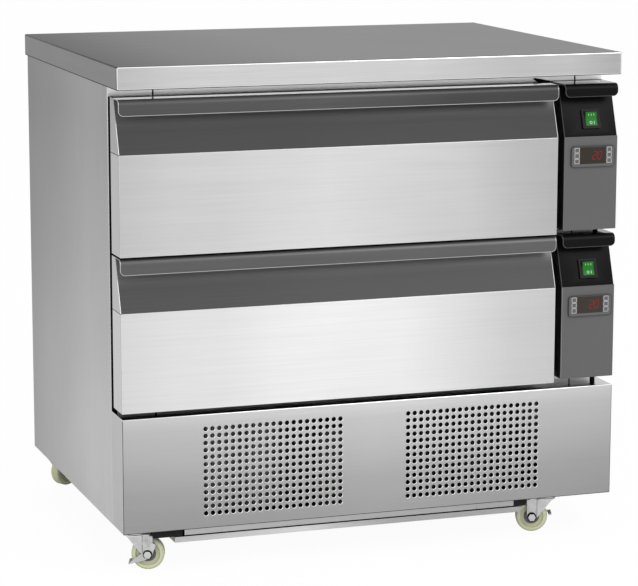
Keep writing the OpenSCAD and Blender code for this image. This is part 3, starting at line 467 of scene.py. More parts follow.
# One dark coat on both grips: the lower lip is painted lighter than the upper, and the upper lip's ramp paints it
# darker towards the right.
UPPER_LIP = Finish("upper_lip_coat", grey(92), Grain.ACROSS, 0.42, 0.55, 0.05, 0.03, 0.04,
                   specular=0.3, ramps=(Ramp(0, ((-0.46, 0.84), (-0.1, 0.95), (0.05, 0.78),
                                                  (0.15, 0.6), (0.35, 0.58))),))
LOWER_LIP = replace(UPPER_LIP, name="lower_lip_coat", tone=grey(102),
                    ramps=(Ramp(0, ((-0.46, 0.9), (-0.1, 0.93), (0.1, 0.98), (0.35, 0.94))),))
# One dark coat on both slopes: the lower one is painted lighter, the ramps paint a bright band under the lip that
# cancels its shadow, and the upper slope is painted darker towards the right.
UPPER_SLOPE = Finish(
    "upper_slope_coat", grey(76), Grain.ACROSS, 0.45, 0.55, 0.09, 0.03, 0.05, specular=0.25,
    ramps=(Ramp(2, ((0.735, 0.8), (0.774, 0.78), (0.781, 0.92), (0.788, 1.4), (0.797, 2.8),
                    (0.829, 2.8))),
           Ramp(0, ((-0.46, 1.0), (0.35, 0.78)))))
LOWER_SLOPE = replace(
    UPPER_SLOPE, name="lower_slope_coat", tone=grey(84),
    ramps=(Ramp(2, ((0.463, 0.8), (0.502, 0.78), (0.509, 0.92), (0.516, 1.4), (0.525, 2.8),
                    (0.557, 2.8))),))
GLOSS_BLACK = Finish("housing_gloss_black", grey(26), Grain.MOULDED, 0.3, 0.0, 0.05, 0.05, 0.01,
                     specular=0.07)
HOUSING_TOP = Finish("housing_top_gloss", grey(16), Grain.MOULDED, 0.08, 0.0, 0.03, 0.0, 0.0,
                     specular=0.4)
# Painted highlight on the rounded edges of the control boxes.
HOUSING_EDGE_HIGHLIGHT = Finish("housing_edge_highlight", grey(84), Grain.MOULDED, 0.3, 0.0, 0.05, 0.0, 0.01,
                      specular=0.2)
FACE_GREY = Finish("control_face_grey", grey(100), Grain.MOULDED, 0.5, 0.0, 0.04, 0.03, 0.06,
                   specular=0.3)
# Painted highlight on the left edges of the control faces.
FACE_EDGE_HIGHLIGHT = Finish("control_face_edge_highlight", grey(160), Grain.MOULDED, 0.4, 0.0, 0.04, 0.0, 0.02)
BEZEL_DARK = Finish("bezel_dark", grey(66), Grain.MOULDED, 0.4, 0.0, 0.04, 0.03, 0.04,
                    specular=0.3)
WINDOW_SMOKE = Finish("window_smoke", (0.035, 0.027, 0.02), Grain.MOULDED, 0.12, 0.0, 0.03, 0.08,
                      0.0, specular=0.3)
DIGIT_RED = Finish("digit_red", (0.36, 0.012, 0.016), Grain.MOULDED, 0.5, 0.0, 0.02, 0.0, 0.0,
                   specular=0.1, glow=0.06)
KEY_LINE = Finish("key_line_print", grey(220), Grain.MOULDED, 0.5, 0.0, 0.05, 0.0, 0.02)
ROCKER_GREEN = Finish("rocker_green", (0.011, 0.172, 0.014), Grain.MOULDED, 0.35, 0.0, 0.08, 0.1,
                      0.02, specular=0.2, glow=0.05)
ROCKER_BODY = Finish("rocker_body", (0.008, 0.03, 0.01), Grain.MOULDED, 0.35, 0.0, 0.05, 0.05,
                     0.02, specular=0.2)
ROCKER_MARK = Finish("rocker_mark", (0.35, 0.62, 0.35), Grain.MOULDED, 0.4, 0.0, 0.04, 0.0, 0.0,
                     glow=0.1)
FRAME_BLACK = Finish("switch_frame_black", (0.012, 0.01, 0.012), Grain.MOULDED, 0.3, 0.0, 0.05,
                     0.03, 0.03, specular=0.1)
# Painted highlight on the rounded rims of the switch frames.
FRAME_RIM_HIGHLIGHT = Finish("switch_frame_rim_highlight", (0.06, 0.05, 0.052), Grain.MOULDED, 0.4, 0.0, 0.05, 0.0,
                   0.02, specular=0.1)
# Black rubber, painted darker than rubber to deepen the shade in the gaps round the drawers.
GASKET_RUBBER = Finish("gasket_rubber", grey(6), Grain.MOULDED, 0.7, 0.0, 0.1, 0.05, 0.1,
                       specular=0.04)
# Black for painted shade in gaps, hollows, undersides and the panel's insides, and for the corner guard and the
# fronts' cores.
SEAL_AND_SHADE_BLACK = Finish("black_seal_and_painted_shade", grey(12), Grain.MOULDED, 0.7, 0.0, 0.1, 0.05, 0.1,
                 specular=0.1)
MATT_BLACK = Finish("matt_black_plastic", grey(18), Grain.MOULDED, 0.55, 0.0, 0.1, 0.05, 0.15,
                    specular=0.25)
BLACK_PAINT = Finish("compressor_paint", grey(30), Grain.MOULDED, 0.3, 0.0, 0.08, 0.06, 0.08,
                     coat=0.3)
# Condenser fins painted lighter where they show through the left grille, and painted dark as shade further right.
BLACK_COIL = Finish("condenser_fins", grey(168), Grain.UPRIGHT, 0.5, 0.2, 0.25, 0.04, 0.1,
                    specular=0.15, ramps=(Ramp(0, ((-0.33, 1.0), (-0.17, 0.85), (-0.12, 0.12),
                                                   (0.33, 0.22))),))
# Shrouds painted near black, darker than their own grey, as the bay's shade.
SHROUD_BLACK = Finish("shroud_black", grey(26), Grain.MOULDED, 0.6, 0.0, 0.08, 0.04, 0.05,
                      specular=0.1)
BARE_COIL = Finish("evaporator_fins", grey(190), Grain.UPRIGHT, 0.35, 0.9, 0.25, 0.03, 0.1)
COPPER = Finish("copper_pipe", (0.66, 0.28, 0.15), Grain.DEEP, 0.3, 1.0, 0.06, 0.08, 0.03)
MOTOR_CAST = Finish("motor_casting", grey(150), Grain.MOULDED, 0.45, 0.8, 0.1, 0.04, 0.15)
BOX_PLASTIC = Finish("electrical_box_plastic", grey(165), Grain.MOULDED, 0.55, 0.0, 0.03, 0.03,
                     0.15)
FOAM = Finish("insulating_foam", (0.8, 0.68, 0.38), Grain.FOAMED, 0.85, 0.0, 0.12, 0.06, 0.4)
BOARD = Finish("core_board", (0.5, 0.33, 0.17), Grain.CHIPPED, 0.8, 0.0, 0.3, 0.08, 0.3)
NYLON = Finish("wheel_nylon", (0.6, 0.62, 0.4), Grain.MOULDED, 0.4, 0.0, 0.04, 0.08, 0.05,
               specular=0.4)
NYLON_RIM = Finish("wheel_nylon_rim", (0.72, 0.74, 0.54), Grain.MOULDED, 0.4, 0.0, 0.03, 0.05,
                   0.05, specular=0.4)
HUB_STEEL = Finish("wheel_hub_steel", (0.16, 0.155, 0.19), Grain.MOULDED, 0.4, 0.7, 0.08, 0.0,
                   0.05)
PIN_BRASS = Finish("pin_brass", (0.72, 0.55, 0.27), Grain.DEEP, 0.25, 1.0, 0.05, 0.0, 0.02)


def clear_selection() -> None:
    """Leaves object mode with nothing selected."""
    if bpy.context.mode != "OBJECT":
        bpy.ops.object.mode_set(mode="OBJECT")
    bpy.ops.object.select_all(action="DESELECT")


class Bench:
    """One piece on the workbench, shaped with Blender's own tools."""

    def __init__(self, piece: bpy.types.Object) -> None:
        """Takes up a mesh object."""
        self.piece = piece

    @classmethod
    def _started(cls, name: str) -> "Bench":
        """Names the primitive that was just added and settles its place in its mesh."""
        bpy.ops.object.transform_apply(location=True, rotation=True, scale=True)
        return cls(bpy.context.view_layer.objects.active).named(name)

    @classmethod
    def block(cls, name: str, low: Sequence[float], high: Sequence[float]) -> "Bench":
        """Starts from a block between two corners.

        Args:
            name: the piece's name.
            low: its lowest corner.
            high: its highest corner.

        Returns:
            The bench that holds it.
        """
        clear_selection()
        corner, size = Vector(low), Vector(high) - Vector(low)
        bpy.ops.mesh.primitive_cube_add(size=1, location=corner + size / 2, scale=size)
        return cls._started(name)

    @classmethod
    def about(cls, name: str, seat: Vector, half: tuple[float, float],
              depths: tuple[float, float]) -> "Bench":
        """Starts from a block about a point.

        Args:
            name: the piece's name.
            seat: the point.
            half: half its width along X and its height along Z.
            depths: places of its front and back behind the point, along Y.

        Returns:
            The bench that holds it.
        """
        (half_x, half_z), (front, back) = half, depths
        return cls.block(name, seat + Vector((-half_x, front, -half_z)),
                         seat + Vector((half_x, back, half_z)))

    @classmethod
    def rod(cls, name: str, start: Vector, end: Vector, radius: float,
            sides: int = 32) -> "Bench":
        """Starts from a rod.

        Args:
            name: the piece's name.
            start: the middle of its first end.
            end: the middle of its other end.
            radius: its radius.
            sides: how many sides it has.

        Returns:
            The bench that holds it.
        """
        clear_selection()
        along = end - start
        bpy.ops.mesh.primitive_cylinder_add(
            vertices=sides, radius=radius, depth=along.length, location=(start + end) / 2,
            rotation=along.to_track_quat("Z", "Y").to_euler())
        return cls._started(name)

    @classmethod
    def plate(cls, name: str, outline: Sequence[Vector], push: Vector) -> "Bench":
        """Starts from a sheet cut to an outline.

        Args:
            name: the piece's name.
            outline: its corners in order.
            push: its thickness, as the way from one face to the other.

        Returns:
            The bench that holds it.
        """
        clear_selection()
        bpy.ops.mesh.primitive_circle_add(vertices=len(outline), radius=1, fill_type="NGON")
        bench = cls._started(name)
        for point, place in zip(bench.piece.data.vertices, outline):
            point.co = place
        bench.choose(Pick.FACES)
        bpy.ops.mesh.extrude_region_move(TRANSFORM_OT_translate={"value": push})
        return bench.outward()

    @classmethod
    def copy_of(cls, node: str, name: str) -> "Bench":
        """Starts from a merged copy of a CAD node's mesh.

        Args:
            node: the node's name.
            name: the new piece's name.

        Returns:
            The bench that holds it.
        """
        bench = cls(frame["nodes"][node]).twin(name)
        bench.piece.parent = None
        for key in [key for key in bench.piece.keys() if key.startswith("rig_")]:
            del bench.piece[key]
        bench.hold()
        bpy.ops.mesh.customdata_custom_splitnormals_clear()
        bench.choose(Pick.POINTS)
        bpy.ops.mesh.remove_doubles(threshold=MERGE)
        bpy.ops.mesh.dissolve_limited(angle_limit=FLAT_ANGLE)
        bpy.ops.object.mode_set(mode="OBJECT")
        return bench

    @classmethod
    def joined(cls, name: str, benches: Sequence["Bench"]) -> "Bench":
        """Joins several pieces into one.

        Args:
            name: the name of the whole.
            benches: the benches that hold them.

        Returns:
            The first of those benches, which holds the whole.
        """
        benches[0].hold()
        for other in benches[1:]:
            other.piece.select_set(True)
        bpy.ops.object.join()
        return benches[0].named(name)

    def twin(self, name: str, place: Matrix = Matrix.Identity(4)) -> "Bench":
        """Copies the piece, with a mesh of its own, to another place.

        Args:
            name: the copy's name.
            place: how the copy is moved.

        Returns:
            The bench that holds the copy.
        """
        self.hold()
        bpy.ops.object.duplicate()
        return Bench(bpy.context.view_layer.objects.active).named(name).moved(place)

    def named(self, name: str) -> "Bench":
        """Names the piece and its mesh."""
        self.piece.name = self.piece.data.name = name
        return self

    def hold(self) -> None:
        """Makes this piece the only selected one."""
        clear_selection()
        self.piece.select_set(True)
        bpy.context.view_layer.objects.active = self.piece

    def choose(self, kind: Pick, test: Test = lambda place, way: True) -> "Bench":
        """Selects parts of the mesh in edit mode.

        Args:
            kind: what is selected.
            test: says from a part's middle and its direction if it is wanted. The direction
                is the normal, or on an edge the way along it.

        Returns:
            This bench, left in edit mode.
        """
        self.hold()
        bpy.ops.object.mode_set(mode="EDIT")
        bpy.ops.mesh.select_mode(type=kind.value)
        bpy.ops.mesh.select_all(action="DESELECT")
        mesh = bmesh.from_edit_mesh(self.piece.data)
        mesh.normal_update()
        if kind is Pick.POINTS:
            for point in mesh.verts:
                point.select_set(test(point.co, point.normal))
        elif kind is Pick.EDGES:
            for edge in mesh.edges:
                first, second = (point.co for point in edge.verts)
                edge.select_set(test((first + second) / 2, (second - first).normalized()))
        else:
            for face in mesh.faces:
                face.select_set(test(face.calc_center_median(), face.normal))
        mesh.select_flush_mode()
        bmesh.update_edit_mesh(self.piece.data)
        return self

    def inset(self, width: float, depth: float = 0.0) -> "Bench":
        """Insets the selected faces by a width and sinks them by a depth."""
        bpy.ops.mesh.inset(thickness=width, depth=-depth)
        return self

    def bevel(self, width: float, segments: int) -> "Bench":
        """Bevels the selected edges."""
        bpy.ops.mesh.bevel(offset=width, segments=segments, affect="EDGES")
        return self

    def remove(self) -> "Bench":
        """Deletes the selected faces."""
        bpy.ops.mesh.delete(type="FACE")
        return self

    def cut(self, way: Vector, at: float, test: Test = lambda place, way: True) -> "Bench":
        """Cuts faces along a plane.

        Args:
            way: the plane's direction.
            at: how far along that way it lies.
            test: says from a face's middle and normal if it is cut.

        Returns:
            This bench.
        """
        self.choose(Pick.FACES, test)
        bpy.ops.mesh.bisect(plane_co=way * at, plane_no=way)
        return self

    def outward(self) -> "Bench":
        """Turns all faces outwards.

        Returns:
            This bench.
        """
        self.choose(Pick.FACES)
        bpy.ops.mesh.normals_make_consistent(inside=False)
        return self

    def modify(self, kind: str, **settings: object) -> "Bench":
        """Adds a modifier and applies it.

        Args:
            kind: the modifier's type.
            settings: its settings.

        Returns:
            This bench.
        """
        self.hold()
        modifier = self.piece.modifiers.new(kind.lower(), kind)
        for key, value in settings.items():
            setattr(modifier, key, value)
        bpy.ops.object.modifier_apply(modifier=modifier.name)
        return self

    def punch(self, tool: "Bench") -> "Bench":
        """Takes another piece's volume away, and that piece with it.

        Args:
            tool: the bench that holds the other piece.

        Returns:
            This bench.
        """
        self.modify("BOOLEAN", object=tool.piece, operation="DIFFERENCE", solver="EXACT")
        bpy.data.objects.remove(tool.piece)
        return self

    def repeat(self, count: int, step: Vector) -> "Bench":
        """Repeats the mesh and merges its touching edges.

        Args:
            count: how many there are in the end.
            step: the way from each to the next.

        Returns:
            This bench.
        """
        return self.modify("ARRAY", count=count, use_relative_offset=False,
                           use_constant_offset=True, constant_offset_displace=step,
                           use_merge_vertices=True, merge_threshold=HAIR)

    def thicken(self, sheet: float) -> "Bench":
        """Gives the piece's faces a thickness inwards."""
        return self.modify("SOLIDIFY", thickness=sheet, offset=-1, use_even_offset=True)

    def soften(self, width: float, segments: int = 2, finish: Finish | None = None) -> "Bench":
        """Rounds every sharp edge.

        Args:
            width: how far the rounding reaches from each edge.
            segments: how many steps it has.
            finish: the rounding's finish, or None for that of its neighbours.

        Returns:
            This bench.
        """
        return self.modify("BEVEL", width=width, segments=segments, limit_method="ANGLE",
                           angle_limit=ROUND_ANGLE, use_clamp_overlap=True,
                           material=self._slot(finish) if finish else -1)

    def _slot(self, finish: Finish) -> int:
        """Finds the material slot of a finish, or adds one.

        Args:
            finish: the finish.

        Returns:
            The slot's number.
        """
        slots, material = self.piece.data.materials, finish.build()
        if slots.find(material.name) < 0:
            slots.append(material)
        return slots.find(material.name)

    def shade(self) -> "Bench":
        """Shades the piece smooth between its hard edges.

        Returns:
            This bench.
        """
        self.hold()
        bpy.ops.object.shade_smooth_by_angle(angle=HARD_ANGLE)
        return self

    def dress(self, finish: Finish) -> "Bench":
        """Gives the whole piece its main finish.

        Args:
            finish: the finish.

        Returns:
            This bench.
        """
        clear_selection()
        slots = self.piece.data.materials
        if len(slots):
            slots[0] = finish.build()
        else:
            slots.append(finish.build())
        return self.shade()

    def paint(self, finish: Finish, test: Test) -> "Bench":
        """Gives some faces a finish of their own.

        Args:
            finish: the finish.
            test: says from a face's middle and normal if it gets the finish.

        Returns:
            This bench.
        """
        clear_selection()
        slot = self._slot(finish)
        for face in self.piece.data.polygons:
            if test(face.center, face.normal):
                face.material_index = slot
        return self

    def moved(self, place: Matrix) -> "Bench":
        """Moves the piece's mesh.

        Args:
            place: how it is moved.

        Returns:
            This bench.
        """
        clear_selection()
        self.piece.data.transform(place)
        return self


class Assembly:
    """A sub-assembly of the counter, which reports each piece that it adds."""

    def add(self, bench: Bench, body: str, slot: str) -> Bench:
        """Fits a finished piece to its body.

        Args:
            bench: the bench that holds the piece.
            body: the CAD body that it rides on.
            slot: the record's material slot that it takes its finish from.

        Returns:
            The same bench.
        """
        bench.shade()
        clear_selection()
        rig.ride(bench.piece, body)
        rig.slot(bench.piece, slot)
        LOG.info("%s rides on %s", bench.piece.name, body)
        return bench

    def stand(self, bench: Bench, node: str) -> Bench:
        """Lets a finished piece stand for a CAD node, on its body and with its slot.

        Args:
            bench: the bench that holds the piece.
            node: the CAD node.

        Returns:
            The same bench.
        """
        self.add(bench, BODY_OF[node], SLOT_OF[node])
        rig.replaces(bench.piece, node)
        return bench

    def refine(self, node: str, name: str, edge: float, finish: Finish, segments: int = 2,
               fold: Finish | None = None) -> Bench:
        """Stands a piece with rounded edges for a CAD node.

        Args:
            node: the CAD node.
            name: the new piece's name.
            edge: how far its edges are rounded.
            finish: its finish.
            segments: how many steps the rounding has.
            fold: the rounding's finish, or None for that of its neighbours.

        Returns:
            The bench that holds it.
        """
        bench = Bench.copy_of(node, name).dress(finish)
        bench.soften(edge, segments, fold)
        return self.stand(bench, node)


@dataclass
class Worktop(Assembly):
    """The folded worktop sheet with its board.

    Attributes:
        fold: how far the sheet's folds are rounded.
        sheet: its thickness.
        hem: width of the hem below it.
        gap: gaps between the board and the sheet along X, Y and Z.
        shade_tilt: least part along -Z of a fold's direction from which it is painted black as shade.
    """

    fold: float = 0.0022
    sheet: float = 0.0012
    hem: float = 0.0785
    gap: tuple[float, float, float] = (0.0002, 0.0002, 0.0001)
    shade_tilt: float = 0.3

    def build(self) -> None:
        """Builds the worktop."""
        top = Bench.block("worktop_sheet", *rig.box("worktop")).dress(TOP_STEEL)
        top.choose(Pick.FACES, faces(-Z)).inset(self.hem).remove()
        # The rounded folds take the painted highlight.
        top.soften(self.fold, 4, FOLD_HIGHLIGHT)
        # Painted shade: the steeper steps of the folds are dark lines, and those facing down are black.
        top.paint(CREASE_SHADE, lambda place, way: max(abs(way.x), abs(way.z)) > PARTLY
                  or min(abs(way.x), abs(way.z)) > BARELY)
        top.paint(SEAL_AND_SHADE_BLACK, faces(-Z, self.shade_tilt))
        # The top, front and sides take one steel in three painted tones for how light falls on them; the underside is
        # polished.
        top.paint(TOP_STEEL, faces(Z))
        top.paint(TOP_FRONT_STEEL, faces(-Y))
        top.paint(TOP_SIDE_STEEL, lambda place, way: abs(way.x) > SQUARE or way.y > SQUARE)
        top.paint(SLOT_STEEL, faces(-Z))
        self.stand(top.thicken(self.sheet), "worktop")
        low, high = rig.box("worktop_core")
        gap = Vector(self.gap)
        board = Bench.block("worktop_board", low + gap + self.sheet * Z, high - gap)
        self.stand(board.dress(BOARD).soften(Edge.BOARD), "worktop_core")


@dataclass
class Carcass(Assembly):
    """The panels, walls and cavities that stand behind the drawers.

    Attributes:
        frame_y: place of the face frame's front along Y.
        foam_y: place of the foam's front along Y.
        shade_x: place beyond which the frame's front is painted black as shade, along X.
        shade_z: place below which it is so, along Z.
        fold_y: place behind which a side's folds take the side's finish instead of the painted highlight, along Y.
        wedge: outline of the black corner guard along X and Z, in millimetres.
        guard: its thickness.
    """

    frame_y: float = -0.272
    foam_y: float = -0.2708
    shade_x: float = 0.4505
    shade_z: float = 0.828
    fold_y: float = -0.2
    wedge: tuple[tuple[float, float], ...] = (
        (327.5, 833.5), (330, 835.2), (359.5, 829.5), (359.5, 822), (341, 824.5))
    guard: float = 0.0024

    def build(self) -> None:
        """Builds the carcass."""
        for side in ("left", "right"):
            sheet = self.refine(f"{side}_side_panel", f"{side}_side_sheet", Edge.MOULDING,
                                SIDE_STEEL, fold=FOLD_HIGHLIGHT)
            sheet.paint(SIDE_STEEL, lambda place, way: abs(way.x) < SQUARE
                        and way.y > self.fold_y)
        self.refine("back_panel", "back_sheet", Edge.FIN, BACK_STEEL, 1)
        self.refine("base_plate", "base_sheet", Edge.SHEET, SHADE_DARKENED_ZINC)
        self.front()
        foam = Bench.copy_of("insulation", "foam_boards").dress(FOAM)
        # Painted shade: the foam's front is painted black, so the joints in the frame read dark.
        foam.paint(SEAL_AND_SHADE_BLACK, lambda place, way: way.y < -MOSTLY and place.y < self.foam_y + NEAR)
        self.stand(foam, "insulation")
        for level in LEVELS:
            self.refine(f"{level}_liner", f"{level}_cavity_liner", Edge.FIN, LINER_STEEL)
        self.refine("air_baffles", "baffle_sheets", Edge.SHEET, LINER_STEEL)
        self.refine("evaporators", "evaporator_coils", Edge.FIN, BARE_COIL, 1)
        self.refine("fixed_rails", "cabinet_rails", Edge.RAIL, RAIL_ZINC)
        self.corner_guard()

    def front(self) -> None:
        """Builds the face frame, which is painted black beside the drawers as painted shade."""
        sheet = self.refine("face_frame", "face_frame_sheet", Edge.SHEET, FRAME_STEEL)
        for x in (-self.shade_x, self.shade_x):
            sheet.cut(X, x, lies_along(Y))
        sheet.cut(Z, self.shade_z,
                  lambda place, way: way.y < -SQUARE and abs(place.x) > self.shade_x)
        # Painted shade: the frame's front beside the drawers is painted black.
        sheet.paint(SEAL_AND_SHADE_BLACK, lambda place, way: way.y < -SQUARE and place.z < self.shade_z
                    and abs(place.x) > self.shade_x)

    def corner_guard(self) -> None:
        """Builds the black wedge that closes the frame's corner above the upper drawer."""
        front = 1000 * (self.frame_y - NEAR)
        outline = [mm(x, front, z) for x, z in self.wedge]
        guard = Bench.plate("corner_guard", outline, -self.guard * Y).dress(SEAL_AND_SHADE_BLACK)
        self.add(guard.soften(Edge.SHEET), "cabinet", "housing_black")


@dataclass
class Drawer(Assembly):
    """One insulated drawer with its rolled grip.

    Attributes:
        level: upper or lower.
        skin: the finish of its bright face.
        lip: the finish of the grip's lip.
        slope: the finish of the slope behind the lip.
        fold: how far the front's folds are rounded.
        band: width of the painted highlight band round the grip's lip.
        lip_h: height of the lip.
        lip_d: its depth.
        roll: radius of its roll.
        corner: radius of its lower corners.
        lip_t: thickness of its sheet with the rounding.
        rim: depth of the painted highlight band behind the lip's front.
        bright: height of the painted highlight band at the top of the front.
        crease: height of the painted shade at the corners of its top.
        shade_y: place along Y behind which the front's top is painted black as shade.
    """

    level: str
    skin: Finish
    lip: Finish
    slope: Finish
    fold: float = 0.0016
    band: float = 0.001
    lip_h: float = 0.028
    lip_d: float = 0.011
    roll: float = 0.01
    corner: float = 0.009
    lip_t: float = 0.0016
    rim: float = 0.0006
    bright: float = 0.002
    crease: float = 0.0014
    shade_y: float = -0.308

    def build(self) -> None:
        """Builds the drawer."""
        level = self.level
        front = self.refine(f"{level}_front_skin", f"{level}_front_sheet", self.fold, self.skin,
                            4, FOLD_HIGHLIGHT)
        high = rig.box(f"{level}_front_skin")[1]
        # Painted highlight on the front's top edge.
        front.paint(FOLD_HIGHLIGHT, lambda place, way: way.z > MOSTLY
                    and place.z > high.z - self.bright)
        # Painted shade on the front's side folds and at its top corners.
        front.paint(CREASE_SHADE, lambda place, way: abs(way.x) > PARTLY
                    or abs(way.x) > BARELY and place.z > high.z - self.crease)
        front.paint(CAP_STEEL, lies_along(X))
        # Painted shade: the front's underside is painted black.
        front.paint(SEAL_AND_SHADE_BLACK, faces(-Z, PARTLY))
        caps = self.refine(f"{level}_end_caps", f"{level}_grip_ends", Edge.FIN, CAP_STEEL, 1)
        # Painted highlight on the front edges of the left end cap only.
        caps.paint(FOLD_HIGHLIGHT, lambda place, way: place.x < 0 and way.y < -HALFWAY
                   and abs(way.x) < HALFWAY)
        self.grip()
        core = Bench.copy_of(f"{level}_front_core", f"{level}_front_foam").dress(SEAL_AND_SHADE_BLACK)
        self.stand(core.paint(LINER_STEEL, faces(Y, MOSTLY)), f"{level}_front_core")
        self.refine(f"{level}_gasket", f"{level}_seal", Edge.RUBBER, GASKET_RUBBER)
        self.refine(f"{level}_drawer_box", f"{level}_pan_box", Edge.PRESSING, LINER_STEEL)
        self.refine(f"{level}_mid_rails", f"{level}_middle_rails", Edge.RAIL, RAIL_ZINC)

    def grip(self) -> None:
        """Builds the rolled lip and the slope behind it, with a painted highlight round the lip's edge."""
        node = f"{self.level}_handle"
        low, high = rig.box(node)
        foot, front = high.z - self.lip_h, low.y + self.lip_d
        roll_z, roll_y = high.z - self.roll - TOUCH, low.y + self.roll + TOUCH

        def on_roll(place: Vector, way: Vector) -> bool:
            """Says if a face is part of the roll."""
            return place.z > roll_z and place.y < roll_y

        def on_top(place: Vector, way: Vector) -> bool:
            """Says if a face is part of the flat top."""
            return way.z > SQUARE and place.z > high.z - NEAR

        def to_end(place: Vector) -> float:
            """Gives the distance from the lip's nearer end."""
            return min(place.x - low.x, high.x - place.x)

        lip = Bench.copy_of(node, f"{self.level}_grip").dress(self.slope)
        lip.choose(Pick.FACES, lambda place, way: way.y < -SQUARE
                   and place.y < low.y + NEAR).inset(self.band)
        lip.soften(Edge.FIN)
        for x in (low.x + self.band, high.x - self.band):
            lip.cut(X, x, on_roll)
        lip.cut(Y, self.shade_y, on_top)
        lip.paint(self.lip, lambda place, way: place.z > foot - TOUCH
                  and (place.y < front or place.z > high.z - self.lip_t))
        # Painted highlight: a bright band along the lip's foot, round its corners and up its ends.
        lip.paint(LIP_HIGHLIGHT, lambda place, way: place.y < low.y + self.rim
                  and way.y < -HALFWAY and place.z < roll_z + NEAR
                  and self._on_rim(to_end(place), place.z - foot))
        lip.paint(LIP_HIGHLIGHT, lambda place, way: on_roll(place, way) and to_end(place) < self.band)
        lip.paint(LIP_HIGHLIGHT, lambda place, way: abs(way.x) > MOSTLY and place.z > foot - TOUCH
                  and place.y < front)
        lip.paint(SLOT_STEEL, on_top)
        # Painted shade: the rear of the top is painted black.
        lip.paint(SEAL_AND_SHADE_BLACK, lambda place, way: on_top(place, way) and place.y > self.shade_y)
        self.stand(lip, node)

    def _on_rim(self, side: float, rise: float) -> bool:
        """Says if a place lies within the painted highlight band along the lip's foot and ends.

        Args:
            side: its distance from the lip's nearer end.
            rise: its height above the lip's foot.

        Returns:
            If it lies in the band.
        """
        if max(side, rise) < self.corner:
            return math.hypot(self.corner - side, self.corner - rise) > self.corner - self.band
        return min(side, rise) < self.band


